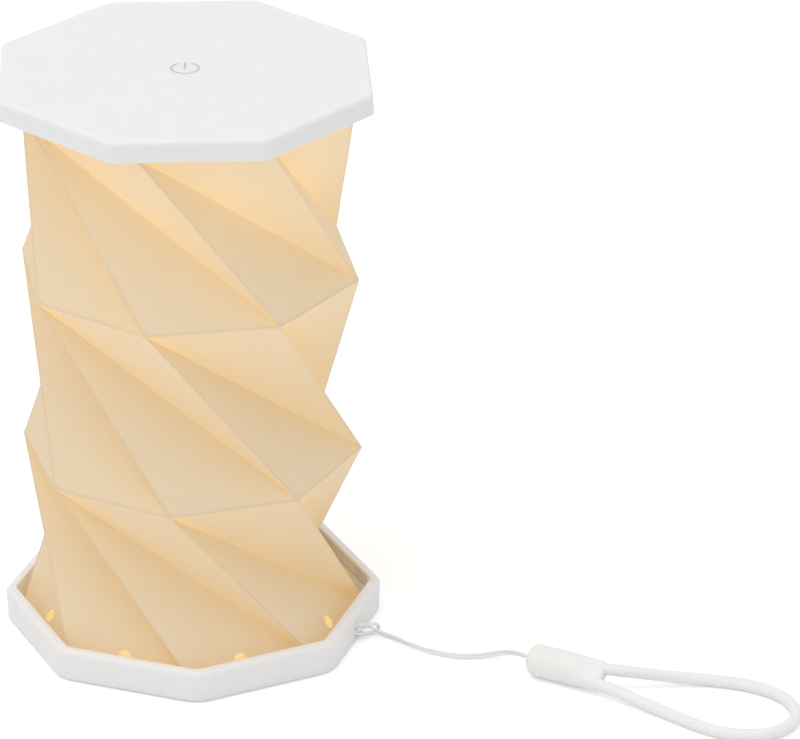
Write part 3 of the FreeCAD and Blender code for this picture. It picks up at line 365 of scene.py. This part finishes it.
low, high, along = strap["holeLow"], strap["holeHigh"], strap["holeAlong"]
pairRoute = [
    (4.8, 3.9, 1.9), (6.6, 4.0, 1.2), (9.0, 3.7, 0.95), (12.4, 2.7, 0.92), (16.6, 1.2, 0.92),
    (21.5, -0.3, 0.92), (27.9, -1.4, 0.92), (33.9, -1.1, 0.92), (38.9, 0.7, 0.95), (43.0, 2.6, 1.4),
    (46.9, 3.2, 2.5), (50.6, 1.8, 3.8), (54.0, -0.3, 4.7), (57.3, -1.6, 5.0),
]
strandRoutes = [
    [(-0.6, along, low + 0.44), (1.0, along, low + 0.6), (2.0, 0.9, 4.0), (3.3, 2.8, 3.5), (4.9, 3.9, 2.34)],
    [
        (-0.6, along, low - 0.44), (1.0, along, low - 0.44), (2.2, 1.0, 1.9), (3.6, 3.0, 1.45),
        (4.9, 3.9, 1.46),
    ],
]
nooseRoute = [
    (-0.6, along, high + 0.3), (0.9, along + 0.4, high - 0.1), (2.6, 1.4, 4.9), (3.9, 3.8, 4.2),
    (4.9, 5.3, 3.4), (5.1, 5.9, 2.1), (4.6, 5.8, 0.9), (3.5, 5.2, 0.5), (1.6, 3.6, 0.45), (0.7, 2.3, 0.9),
    (0.55, 0.8, 2.9), (0.7, along + 0.45, high - 0.9), (-0.6, along, high - 0.54),
]
loopRoute = [
    (77.9, -3.6, 6.6), (85.4, -3.1, 6.7), (92.3, 0.4, 5.2), (99.7, 4.9, 3.0), (108.3, 8.4, 1.95),
    (118.2, 9.9, 1.87), (128.1, 9.2, 1.87), (136.7, 5.2, 1.87), (141.6, -2.7, 1.87), (140.6, -11.8, 1.87),
    (134.2, -18.2, 1.87), (124.9, -20.9, 1.87), (115.1, -19.0, 1.87), (105.1, -15.2, 1.87),
    (95.2, -11.8, 2.2), (85.7, -9.1, 3.3), (76.9, -7.4, 3.9),
]

pairLine = routeLine(pairRoute)
pairFrames = lineFrames(pairLine)
pairLength = pairFrames[-1][3]
strands = []
for turn in (0.0, math.pi):
    strand = []
    for point, side, up, run in pairFrames:
        angle = math.pi / 2 + turn + run / pairLength * strap["pairTurns"] * 2 * math.pi
        strand.append(point + (side * math.cos(angle) + up * math.sin(angle)) * strap["pairGap"] * mm)
    strands.append((strand, strap["strand"] * mm))
doubledCord = tubeMesh("doubledCord", strands, strap["strandSides"], thinBraid)

hitchTubes = [(routeLine(route), strap["strand"] * mm) for route in strandRoutes]
hitchTubes.append((routeLine(nooseRoute), strap["noose"] * mm))
for side in (-strap["legGap"], strap["legGap"]):
    inside = [(out, along + side, high) for out in strap["legDepths"]]
    inside += [(out, along + side, low) for out in reversed(strap["legDepths"])]
    hitchTubes.append((routeLine(inside), strap["strand"] * mm))
hitch = tubeMesh("strapHitch", hitchTubes, strap["strandSides"], thinBraid)

loopLine = routeLine(loopRoute)
fingerLoop = tubeMesh("fingerLoop", [(loopLine, strap["loopRadius"] * mm)], strap["loopSides"], softBraid)

# Sleeve: a rounded end, a plain barrel, then a neck that draws in to the loop's two strands
sleeve = {
    "out": 56.6, "along": -1.8, "turn": -30.6, "roll": 32.0, "radius": 5.0, "round": 3.0, "length": 25.0,
    "neck": 9.0, "lobe": 3.1, "pinch": 4.0, "cap": 2.0, "capDraw": 0.5, "sides": 64, "endSteps": 8,
    "barrelSteps": 33,
}
sleeveStart = wallPoint(sleeve["out"], sleeve["along"], sleeve["radius"])
sleeveTurn = math.radians(sleeve["turn"])
sleeveWay = Vector((math.cos(sleeveTurn), math.sin(sleeveTurn), 0))
sleeveSide = Vector((-math.sin(sleeveTurn), math.cos(sleeveTurn), 0))
# stations along it: how far, what share of the full size, and how far into the neck's two lobes
stations = []
for step in range(sleeve["endSteps"] + 1):
    angle = math.radians(90 * step / sleeve["endSteps"])
    reach = sleeve["radius"] - sleeve["round"] * (1 - math.sin(angle))
    stations.append((sleeve["round"] * (1 - math.cos(angle)), reach / sleeve["radius"], 0.0))
for step in range(1, sleeve["barrelSteps"] + 1):
    x = sleeve["round"] + (sleeve["length"] - sleeve["cap"] - sleeve["round"]) * step / sleeve["barrelSteps"]
    neck = min(max((x - sleeve["length"] + sleeve["cap"] + sleeve["neck"]) / sleeve["neck"], 0.0), 1.0)
    stations.append((x, 1.0, neck * neck * (3 - 2 * neck)))
for step in range(1, sleeve["endSteps"] + 1):
    angle = math.radians(90 * step / sleeve["endSteps"])
    x = sleeve["length"] - sleeve["cap"] * (1 - math.sin(angle))
    stations.append((x, 1 - sleeve["capDraw"] * (1 - math.cos(angle)), 1.0))
shape = bmesh.new()
rings = []
for x, size, neck in stations:
    ring = []
    for k in range(sleeve["sides"]):
        angle = 2 * math.pi * k / sleeve["sides"]
        double = 2 * (angle - math.radians(sleeve["roll"]))
        lobed = math.sqrt((sleeve["pinch"] / sleeve["lobe"]) ** 4 - math.sin(double) ** 2)
        lobed = sleeve["lobe"] * math.sqrt(math.cos(double) + lobed)
        reach = (sleeve["radius"] * (1 - neck) + lobed * neck) * size
        across = sleeveSide * math.cos(angle) + Vector((0, 0, math.sin(angle)))
        ring.append(shape.verts.new(sleeveStart + (sleeveWay * x + across * reach) * mm))
    rings.append(ring)
for first, second in zip(rings, rings[1:]):
    for k in range(sleeve["sides"]):
        after = (k + 1) % sleeve["sides"]
        shape.faces.new((first[k], first[after], second[after], second[k])).smooth = True
shape.faces.new(list(reversed(rings[0])))
shape.faces.new(rings[-1])
bmesh.ops.recalc_face_normals(shape, faces=shape.faces)
sleeveMesh = bpy.data.meshes.new("strapSleeve")
shape.to_mesh(sleeveMesh)
shape.free()
strapSleeve = linkMesh("strapSleeve", sleeveMesh, mattSilicone)

for piece, node, slot in (
    (doubledCord, "strap_cord", "strap_cord"), (hitch, "strap_hitch", "strap_cord"),
    (fingerLoop, "strap_loop", "strap_loop"), (strapSleeve, "strap_sleeve", "strap_sleeve"),
):
    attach(piece, "base")
    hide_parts(node)
loopLength = lineFrames(loopLine)[-1][3]
print(
    "strap made:", round(pairLength / mm, 1), "mm of doubled cord,", round(loopLength / mm, 1), "mm of loop"
)

# Pleated shade: its four rings of corners from the top down. Heights, radii and leans to the side are in
# millimetres, turns in degrees. The paper sits a little wider in the tray's frame than it does above
shade = {
    "Height 0": 176.5, "Height 1": 119.2, "Height 2": 59.9, "Height 3": 2.0,
    "Turn 0": -17.9, "Turn 1": -15.3, "Turn 2": -8.4, "Turn 3": 0.0,
    "Radius 0": 52.4, "Radius 1": 52.5, "Radius 2": 52.3, "Radius 3": 53.8,
    "Lean 0": 0.1, "Lean 1": 0.4, "Lean 2": 0.35, "Lean 3": 0.0,
    "Steps": 32, "Flange Share": 0.762, "Lamp Height": 168.0, "Wave": 0.16, "Wave Size": 22.0,
}
# A cell of the sheet is two facets with a valley between them, in millimetres: width and height are its
# sides, spread is how far its corners are from the valley, and run is about half the valley's length. The
# first corner lies a quarter turn before +X. At lampReach from the lamp its light is at full strength
cell = {
    "columns": 8, "tiers": 3, "turn": 45.0, "start": 90.0, "width": 39.7, "height": 66.0, "spread": 29.4,
    "run": 44.7, "lampReach": 55.0,
}
vents = {"radius": 2.1, "share": 0.09, "length": 8.0, "sides": 40}


def shadeTree(material):
    tree = bpy.data.node_groups.new("pleatedShadeShape", "GeometryNodeTree")
    for title in shade:
        kind = "NodeSocketInt" if title == "Steps" else "NodeSocketFloat"
        tree.interface.new_socket(title, in_out="INPUT", socket_type=kind)
    tree.interface.new_socket("Geometry", in_out="OUTPUT", socket_type="NodeSocketGeometry")
    given = addNode(tree, "NodeGroupInput").outputs
    # a flat grid, eight cells across and three down, cut along each cell's diagonal
    counts = []
    for cells in (cell["columns"], cell["tiers"]):
        counts.append(
            addNode(tree, "ShaderNodeMath", {0: given["Steps"], 1: cells, 2: 1.0}, operation="MULTIPLY_ADD")
        )
    gridSize = {
        "Size X": cell["columns"], "Size Y": cell["tiers"],
        "Vertices X": counts[0].outputs[0], "Vertices Y": counts[1].outputs[0],
    }
    grid = addNode(tree, "GeometryNodeMeshGrid", gridSize)
    cut = addNode(
        tree, "GeometryNodeTriangulate", {"Mesh": grid.outputs["Mesh"]}, quad_method="FIXED_ALTERNATE"
    )
    place = addNode(
        tree, "ShaderNodeSeparateXYZ", {0: addNode(tree, "GeometryNodeInputPosition").outputs[0]}
    ).outputs
    u = addNode(tree, "ShaderNodeMath", {0: place["X"], 1: cell["columns"] / 2}, operation="ADD").outputs[0]
    v = addNode(
        tree, "ShaderNodeMath", {0: cell["tiers"] / 2, 1: place["Y"]}, operation="SUBTRACT"
    ).outputs[0]

    def cellOf(value, last):
        # the number of the cell that a point is in
        whole = addNode(tree, "ShaderNodeMath", {0: value}, operation="FLOOR").outputs[0]
        return addNode(tree, "ShaderNodeMath", {0: whole, 1: last}, operation="MINIMUM").outputs[0]

    def inCell(column, row):
        # how far across and down its cell a point lies, as shares of the cell
        a = addNode(tree, "ShaderNodeMath", {0: u, 1: column}, operation="SUBTRACT").outputs[0]
        b = addNode(tree, "ShaderNodeMath", {0: v, 1: row}, operation="SUBTRACT").outputs[0]
        return a, b

    column, row = cellOf(u, cell["columns"] - 1), cellOf(v, cell["tiers"] - 1)
    a, b = inCell(column, row)
    # shares of the cell's four corners: a cell is two flat facets, one each side of its diagonal
    most = addNode(tree, "ShaderNodeMath", {0: a, 1: b}, operation="MAXIMUM").outputs[0]
    least = addNode(tree, "ShaderNodeMath", {0: a, 1: b}, operation="MINIMUM").outputs[0]
    shares = {
        (0, 0): addNode(tree, "ShaderNodeMath", {0: 1.0, 1: most}, operation="SUBTRACT").outputs[0],
        (1, 0): addNode(tree, "ShaderNodeMath", {0: most, 1: b}, operation="SUBTRACT").outputs[0],
        (0, 1): addNode(tree, "ShaderNodeMath", {0: most, 1: a}, operation="SUBTRACT").outputs[0],
        (1, 1): least,
    }
    total = None
    for (right, below), share in shares.items():
        index = addNode(tree, "ShaderNodeMath", {0: row, 1: float(below)}, operation="ADD").outputs[0]
        found = []
        for kind in ("Turn", "Height", "Radius", "Lean"):
            pick = addNode(tree, "GeometryNodeIndexSwitch", data_type="FLOAT")
            while len(pick.index_switch_items) < cell["tiers"] + 1:
                pick.index_switch_items.new()
            tree.links.new(index, pick.inputs["Index"])
            for number in range(cell["tiers"] + 1):
                tree.links.new(given[f"{kind} {number}"], pick.inputs[1 + number])
            found.append(pick.outputs[0])
        steps = addNode(tree, "ShaderNodeMath", {0: column, 1: row}, operation="ADD").outputs[0]
        steps = addNode(
            tree, "ShaderNodeMath", {0: steps, 1: float(right + below)}, operation="ADD"
        ).outputs[0]
        angle = addNode(
            tree, "ShaderNodeMath", {0: steps, 1: cell["turn"], 2: found[0]}, operation="MULTIPLY_ADD"
        ).outputs[0]
        angle = addNode(tree, "ShaderNodeMath", {0: angle, 1: cell["start"]}, operation="SUBTRACT").outputs[0]
        angle = addNode(tree, "ShaderNodeMath", {0: angle}, operation="RADIANS").outputs[0]
        flat = []
        for operation in ("COSINE", "SINE"):
            swing = addNode(tree, "ShaderNodeMath", {0: angle}, operation=operation).outputs[0]
            flat.append(
                addNode(tree, "ShaderNodeMath", {0: swing, 1: found[2]}, operation="MULTIPLY").outputs[0]
            )
        leant = addNode(tree, "ShaderNodeMath", {0: flat[0], 1: found[3]}, operation="ADD").outputs[0]
        corner = addNode(tree, "ShaderNodeCombineXYZ", {0: leant, 1: flat[1], 2: found[1]}).outputs[0]
        part = addNode(
            tree, "ShaderNodeVectorMath", {0: corner, "Scale": share}, operation="SCALE"
        ).outputs[0]
        if total is not None:
            part = addNode(tree, "ShaderNodeVectorMath", {0: total, 1: part}, operation="ADD").outputs[0]
        total = part

    # facts that the paper's finish follows, kept on each face's corners while the grid is still flat
    faceColumn = addNode(
        tree, "GeometryNodeFieldOnDomain", {0: column}, domain="FACE", data_type="FLOAT"
    ).outputs[0]
    faceRow = addNode(
        tree, "GeometryNodeFieldOnDomain", {0: row}, domain="FACE", data_type="FLOAT"
    ).outputs[0]
    across, down = inCell(faceColumn, faceRow)
    aside = addNode(tree, "ShaderNodeMath", {0: across, 1: down}, operation="SUBTRACT").outputs[0]
    hanging = addNode(tree, "ShaderNodeMath", {0: aside, 1: 0.0}, operation="GREATER_THAN").outputs[0]
    hanging = addNode(
        tree, "GeometryNodeFieldOnDomain", {0: hanging}, domain="FACE", data_type="FLOAT"
    ).outputs[0]
    hanging = addNode(tree, "ShaderNodeMath", {0: hanging, 1: 0.5}, operation="GREATER_THAN").outputs[0]
    # on a standing facet the folds lie at across 0 and down 1, and on a hanging one at down 0 and across 1
    facets = []
    for side, end, nearSize, farSize in (
        (across, down, cell["width"], cell["height"]), (down, across, cell["height"], cell["width"]),
    ):
        near = addNode(tree, "ShaderNodeMath", {0: side, 1: nearSize}, operation="MULTIPLY").outputs[0]
        far = addNode(
            tree, "ShaderNodeMath", {0: end, 1: -farSize, 2: farSize}, operation="MULTIPLY_ADD"
        ).outputs[0]
        facets.append(addNode(tree, "ShaderNodeMath", {0: near, 1: far}, operation="MINIMUM").outputs[0])
    ridge = addNode(
        tree, "ShaderNodeMix", {0: hanging, 2: facets[0], 3: facets[1]}, data_type="FLOAT"
    ).outputs[0]
    gap = addNode(tree, "ShaderNodeMath", {0: aside}, operation="ABSOLUTE").outputs[0]
    valley = addNode(tree, "ShaderNodeMath", {0: gap, 1: cell["spread"]}, operation="MULTIPLY").outputs[0]
    along = addNode(tree, "ShaderNodeMath", {0: across, 1: down}, operation="ADD").outputs[0]
    along = addNode(tree, "ShaderNodeMath", {0: along, 1: cell["run"]}, operation="MULTIPLY").outputs[0]
    sheet = cut.outputs[0]
    for title, value in (("ridgeMm", ridge), ("valleyMm", valley), ("alongMm", along), ("hanging", hanging)):
        sheet = addNode(
            tree, "GeometryNodeStoreNamedAttribute", {"Geometry": sheet, "Name": title, "Value": value},
            data_type="FLOAT", domain="CORNER",
        ).outputs[0]

    # the grid is folded into the shade, and its seam is closed
    folded = addNode(tree, "GeometryNodeSetPosition", {"Geometry": sheet, "Position": total}).outputs[0]
    folded = addNode(tree, "GeometryNodeMergeByDistance", {"Geometry": folded, "Distance": 0.01}).outputs[0]
    normal = addNode(tree, "GeometryNodeInputNormal").outputs[0]
    spot = addNode(tree, "GeometryNodeInputPosition").outputs[0]
    # lamp light through the paper: it falls off with the distance from the lamp and the paper's angle
    lamp = addNode(tree, "ShaderNodeCombineXYZ", {2: given["Lamp Height"]}).outputs[0]
    ray = addNode(tree, "ShaderNodeVectorMath", {0: spot, 1: lamp}, operation="SUBTRACT").outputs[0]
    length = addNode(tree, "ShaderNodeVectorMath", {0: ray}, operation="LENGTH").outputs["Value"]
    straight = addNode(tree, "ShaderNodeVectorMath", {0: ray}, operation="NORMALIZE").outputs[0]
    facing = addNode(
        tree, "ShaderNodeVectorMath", {0: straight, 1: normal}, operation="DOT_PRODUCT"
    ).outputs["Value"]
    facing = addNode(tree, "ShaderNodeMath", {0: facing, 1: 0.0}, operation="MAXIMUM").outputs[0]
    weak = addNode(tree, "ShaderNodeMath", {0: cell["lampReach"], 1: length}, operation="DIVIDE").outputs[0]
    lit = addNode(tree, "ShaderNodeMath", {0: facing, 1: weak}, operation="MULTIPLY").outputs[0]
    folded = addNode(
        tree, "GeometryNodeStoreNamedAttribute", {"Geometry": folded, "Name": "lampLight", "Value": lit},
        data_type="FLOAT", domain="FACE",
    ).outputs[0]
    # paper is never quite flat
    size = addNode(tree, "ShaderNodeMath", {0: 1.0, 1: given["Wave Size"]}, operation="DIVIDE").outputs[0]
    wave = addNode(tree, "ShaderNodeTexNoise", {"Vector": spot, "Scale": size, "Detail": 1.0}).outputs["Fac"]
    wave = addNode(tree, "ShaderNodeMath", {0: wave, 1: 0.5}, operation="SUBTRACT").outputs[0]
    wave = addNode(tree, "ShaderNodeMath", {0: wave, 1: given["Wave"]}, operation="MULTIPLY").outputs[0]
    wave = addNode(tree, "ShaderNodeMath", {0: wave, 1: 2.0}, operation="MULTIPLY").outputs[0]
    push = addNode(tree, "ShaderNodeVectorMath", {0: normal, "Scale": wave}, operation="SCALE").outputs[0]
    folded = addNode(tree, "GeometryNodeSetPosition", {"Geometry": folded, "Offset": push}).outputs[0]
    # flanges: the two open ends are drawn inwards
    faces = addNode(tree, "GeometryNodeInputMeshEdgeNeighbors").outputs[0]
    ends = addNode(
        tree, "FunctionNodeCompare", {2: faces, 3: 1}, data_type="INT", operation="EQUAL"
    ).outputs[0]
    drawn = addNode(
        tree, "GeometryNodeExtrudeMesh", {"Mesh": folded, "Selection": ends, "Offset Scale": 0.0},
        mode="EDGES",
    )
    inwards = addNode(
        tree, "ShaderNodeCombineXYZ", {0: given["Flange Share"], 1: given["Flange Share"], 2: 1.0}
    ).outputs[0]
    inner = addNode(tree, "ShaderNodeVectorMath", {0: spot, 1: inwards}, operation="MULTIPLY").outputs[0]
    folded = addNode(
        tree, "GeometryNodeSetPosition",
        {"Geometry": drawn.outputs["Mesh"], "Selection": drawn.outputs["Top"], "Position": inner},
    ).outputs[0]
    folded = addNode(tree, "GeometryNodeTransform", {"Geometry": folded, "Scale": (mm, mm, mm)}).outputs[0]
    folded = addNode(tree, "GeometryNodeRealizeInstances", {"Geometry": folded}).outputs[0]
    folded = addNode(tree, "GeometryNodeSetMaterial", {"Geometry": folded, "Material": material}).outputs[0]
    addNode(tree, "NodeGroupOutput", {0: folded})
    return tree


# Looks of the paper: sizes and reaches in millimetres, colours as hex values, and shares of the glow
# folded is a painted shade colour, darker and warmer, laid towards the valleys and the bottom edge in place
# of shade and warm bounce light
paperLook = {
    "plain": "E0CFB6", "cloudy": "DBCAAE", "folded": "DEC69F", "ridgeGrey": "C2B6A4", "glow": "FFDAA2",
    "deepGlow": "FFC860", "thickness": 0.3, "roughness": 0.85, "cloudSize": 5.0, "fibreSize": 0.8,
    "fibreDepth": 0.015, "cloudShare": 0.5, "pulpLow": 0.45, "pulpHigh": 1.05, "bottomRise": 0.3,
    "valleyReach": 9.0, "bottomReach": 7.0, "ridgeFrom": 0.1, "ridgeTo": 1.0, "ridgeGreyShare": 0.28,
    "pinchAcross": 4.0, "pinchAlong": 22.0, "evenGlow": 0.12, "lampGlow": 0.13, "hangingGlow": 0.02,
    "pinchGlow": 0.1, "valleyGlow": 0.05, "bottomGlow": 0.09, "ridgeGlow": -0.1,
}


def litPaperFinish(name, look):
    # cream paper with the lamp on behind it: faint clouds of pulp, painted shade and warm bounce light
    # towards the valleys and the bottom edge, grey along the ridges, and warm light where the lamp strikes
    # squarely and in pinches
    material, tree, shader = newFinish(name, Roughness=look["roughness"], IOR=1.5)
    titles = ("ridgeMm", "valleyMm", "alongMm", "hanging", "lampLight")
    facts = {
        title: addNode(tree, "ShaderNodeAttribute", attribute_name=title).outputs["Fac"] for title in titles
    }
    clouds = addNode(
        tree, "ShaderNodeTexNoise",
        {"Vector": patternPlace(tree, look["cloudSize"]), "Scale": 1.0, "Detail": 3.0},
    )
    fibres = addNode(
        tree, "ShaderNodeTexNoise",
        {"Vector": patternPlace(tree, look["fibreSize"]), "Scale": 1.0, "Detail": 4.0, "Roughness": 0.7},
    )
    pulp = addNode(
        tree, "ShaderNodeMath", {0: clouds.outputs["Fac"], 1: look["cloudShare"], 2: fibres.outputs["Fac"]},
        operation="MULTIPLY_ADD",
    )
    share = addNode(
        tree, "ShaderNodeMapRange",
        {"Value": pulp.outputs[0], "From Min": look["pulpLow"], "From Max": look["pulpHigh"]},
    )
    base = addNode(
        tree, "ShaderNodeMix", {0: share.outputs[0], 6: colour(look["cloudy"]), 7: colour(look["plain"])},
        data_type="RGBA",
    )
    deep = addNode(
        tree, "ShaderNodeMath", {0: facts["valleyMm"], 1: -1 / look["valleyReach"]}, operation="MULTIPLY"
    )
    deep = addNode(tree, "ShaderNodeMath", {0: deep.outputs[0]}, operation="EXPONENT")
    height = addNode(tree, "ShaderNodeSeparateXYZ", {0: patternPlace(tree, look["bottomReach"])})
    bottom = addNode(
        tree, "ShaderNodeMath", {0: height.outputs["Z"], 1: -1.0, 2: look["bottomRise"]},
        operation="MULTIPLY_ADD",
    )
    bottom = addNode(tree, "ShaderNodeMath", {0: bottom.outputs[0]}, operation="EXPONENT")
    # painted shade: near the valleys and the bottom edge the paper goes to the darker, warmer folded colour,
    # in place of shade and warm bounce light
    paintedShadeShare = addNode(tree, "ShaderNodeMath", {0: deep.outputs[0], 1: bottom.outputs[0]}, operation="MAXIMUM")
    paintedShadeColour = addNode(
        tree, "ShaderNodeMix", {0: paintedShadeShare.outputs[0], 6: base.outputs[2], 7: colour(look["folded"])},
        data_type="RGBA",
    )
    # grey along the ridges, which also takes some of the glow off them
    nearRidge = addNode(
        tree, "ShaderNodeMapRange",
        {
            "Value": facts["ridgeMm"], "From Min": look["ridgeFrom"], "From Max": look["ridgeTo"],
            "To Min": look["ridgeGreyShare"], "To Max": 0.0,
        },
    )
    ridgeGrey = addNode(
        tree, "ShaderNodeMix", {0: nearRidge.outputs[0], 6: paintedShadeColour.outputs[2], 7: colour(look["ridgeGrey"])},
        data_type="RGBA",
    )
    tree.links.new(ridgeGrey.outputs[2], shader.inputs["Base Color"])
    pinch = facts["hanging"]
    for title, reach in (("valleyMm", look["pinchAcross"]), ("alongMm", look["pinchAlong"])):
        near = addNode(
            tree, "ShaderNodeMapRange",
            {"Value": facts[title], "From Max": reach, "To Min": 1.0, "To Max": 0.0},
            interpolation_type="SMOOTHERSTEP",
        )
        pinch = addNode(
            tree, "ShaderNodeMath", {0: pinch, 1: near.outputs[0]}, operation="MULTIPLY"
        ).outputs[0]
    lampShare = {0: facts["lampLight"], 1: look["lampGlow"], 2: look["evenGlow"]}
    power = addNode(tree, "ShaderNodeMath", lampShare, operation="MULTIPLY_ADD").outputs[0]
    for extra, amount in (
        (facts["hanging"], look["hangingGlow"]), (pinch, look["pinchGlow"]),
        (deep.outputs[0], look["valleyGlow"]), (bottom.outputs[0], look["bottomGlow"]),
        (nearRidge.outputs[0], look["ridgeGlow"]),
    ):
        power = addNode(
            tree, "ShaderNodeMath", {0: extra, 1: amount, 2: power}, operation="MULTIPLY_ADD"
        ).outputs[0]
    warm = addNode(
        tree, "ShaderNodeMix", {0: pinch, 6: colour(look["glow"]), 7: colour(look["deepGlow"])},
        data_type="RGBA",
    )
    tree.links.new(warm.outputs[2], shader.inputs["Emission Color"])
    tree.links.new(power, shader.inputs["Emission Strength"])
    relief = addNode(
        tree, "ShaderNodeBump",
        {"Height": fibres.outputs["Fac"], "Strength": 1.0, "Distance": look["fibreDepth"] * mm},
    )
    tree.links.new(relief.outputs["Normal"], shader.inputs["Normal"])
    return material


# Coated cotton paper, folded by hand over a form: matt, cream, and glowing from the lamp behind it
litPaper = litPaperFinish("foldedLampPaper", paperLook)
# The same paper seen from inside, where the lamp shines straight on it
innerPaper = grainedFinish(
    "foldedLampPaperInside", "CBBCA0", "C6B698", 1.0, 0.02, 0.9, Emission_Color=colour("FFE6A8"),
    Emission_Strength=0.6,
)

shadeObject = linkMesh("pleatedShade", bpy.data.meshes.new("pleatedShade"))
folding = shadeObject.modifiers.new("folding", "NODES")
folding.node_group = shadeTree(litPaper)
for item in folding.node_group.interface.items_tree:
    if item.in_out == "INPUT":
        folding[item.identifier] = shade[item.name]
bakeMesh(shadeObject)
thickness = shadeObject.modifiers.new("thickness", "SOLIDIFY")
thickness.thickness = paperLook["thickness"] * mm
thickness.offset = -1.0
thickness.use_even_offset = True
shadeObject.data.materials.append(innerPaper)
thickness.material_offset = 1
bakeMesh(shadeObject)

# Vent holes, one in each standing facet of the bottom row: their share is how far up the facet they lie
drill = bmesh.new()
for k in range(cell["columns"]):
    spots = []
    for ring, step in ((2, k), (3, k + 1), (3, k + 2)):
        angle = math.radians(cell["turn"] * step - cell["start"] + shade[f"Turn {ring}"])
        spot = Vector((math.cos(angle), math.sin(angle), 0)) * shade[f"Radius {ring}"]
        spots.append((spot + Vector((shade[f"Lean {ring}"], 0, shade[f"Height {ring}"]))) * mm)
    middle = spots[0] * vents["share"] + (spots[1] + spots[2]) * (1 - vents["share"]) / 2
    turned = (spots[1] - spots[0]).cross(spots[2] - spots[0]).to_track_quat("Z", "Y").to_matrix().to_4x4()
    turned.translation = middle
    bmesh.ops.create_cone(
        drill, cap_ends=True, segments=vents["sides"], radius1=vents["radius"] * mm,
        radius2=vents["radius"] * mm, depth=vents["length"] * mm, matrix=turned,
    )
drillMesh = bpy.data.meshes.new("ventDrill")
drill.to_mesh(drillMesh)
drill.free()
drillObject = linkMesh("ventDrill", drillMesh, litPaper)
venting = shadeObject.modifiers.new("venting", "BOOLEAN")
venting.object = drillObject
venting.solver = "EXACT"
bakeMesh(shadeObject)
bpy.data.objects.remove(drillObject)
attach(shadeObject, "base")
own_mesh(shadeObject)
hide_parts("pleated_shade")
print("shade folded:", len(shadeObject.data.polygons), "faces")

# Plain white studio: an even sky, one soft lamp from the upper left, and a pale floor that keeps a shadow
studio = {
    "sky": 0.72, "key": 13.8, "keySize": 1.8, "keyPlace": (-0.5, -0.4, 2.2), "keyAim": (0, 0, 0.08),
    "floorDark": "F4F4F4", "floorLight": "F6F6F6", "floorBlots": 60.0, "floorLift": 0.3, "floorRadius": 6.0,
    "floorSides": 96, "floorDrop": 0.0001,
}
bpy.context.scene.view_settings.view_transform = "Standard"
world = bpy.data.worlds.new("studio")
bpy.context.scene.world = world
world.use_nodes = True
sky = world.node_tree
background = sky.nodes["Background"]
background.inputs["Color"].default_value = (1, 1, 1, 1)
seen = addNode(sky, "ShaderNodeLightPath").outputs
direct = addNode(
    sky, "ShaderNodeMath", {0: seen["Is Camera Ray"], 1: seen["Is Glossy Ray"]}, operation="MAXIMUM"
).outputs[0]
direct = addNode(
    sky, "ShaderNodeMath", {0: direct, 1: seen["Is Transmission Ray"]}, operation="MAXIMUM"
).outputs[0]
level = addNode(sky, "ShaderNodeMix", {0: direct, 2: studio["sky"], 3: 1.0}, data_type="FLOAT").outputs[0]
sky.links.new(level, background.inputs["Strength"])

keyData = bpy.data.lights.new("keyLamp", "AREA")
keyData.shape = "DISK"
keyData.size = studio["keySize"]
keyData.energy = studio["key"]
keyLamp = bpy.data.objects.new("keyLamp", keyData)
keyLamp.location = studio["keyPlace"]
keyLamp.rotation_euler = (
    Vector(studio["keyAim"]) - Vector(studio["keyPlace"])
).to_track_quat("-Z", "Y").to_euler()
bpy.context.scene.collection.objects.link(keyLamp)

# Seamless paper sweep: matt white, lifted a little for the eye so that it reads as white
floorPaper, floorTree, floorShader = newFinish("paperSweep", Roughness=0.9, Emission_Color=colour("FFFFFF"))
blots = addNode(
    floorTree, "ShaderNodeTexNoise", {"Vector": patternPlace(floorTree, studio["floorBlots"]), "Scale": 1.0}
)
floorTint = addNode(
    floorTree, "ShaderNodeMix",
    {0: blots.outputs["Fac"], 6: colour(studio["floorDark"]), 7: colour(studio["floorLight"])},
    data_type="RGBA",
)
floorTree.links.new(floorTint.outputs[2], floorShader.inputs["Base Color"])
floorSeen = addNode(floorTree, "ShaderNodeLightPath").outputs
floorDirect = addNode(
    floorTree, "ShaderNodeMath", {0: floorSeen["Is Camera Ray"], 1: floorSeen["Is Glossy Ray"]},
    operation="MAXIMUM",
).outputs[0]
floorLift = addNode(
    floorTree, "ShaderNodeMath", {0: floorDirect, 1: studio["floorLift"]}, operation="MULTIPLY"
).outputs[0]
floorTree.links.new(floorLift, floorShader.inputs["Emission Strength"])
floorMesh = bmesh.new()
bmesh.ops.create_circle(floorMesh, cap_ends=True, segments=studio["floorSides"], radius=studio["floorRadius"])
bmesh.ops.translate(floorMesh, verts=floorMesh.verts, vec=(0, 0, -studio["floorDrop"]))
floorData = bpy.data.meshes.new("floor")
floorMesh.to_mesh(floorData)
floorMesh.free()
linkMesh("floor", floorData, floorPaper)
print("studio lit")

print("done")
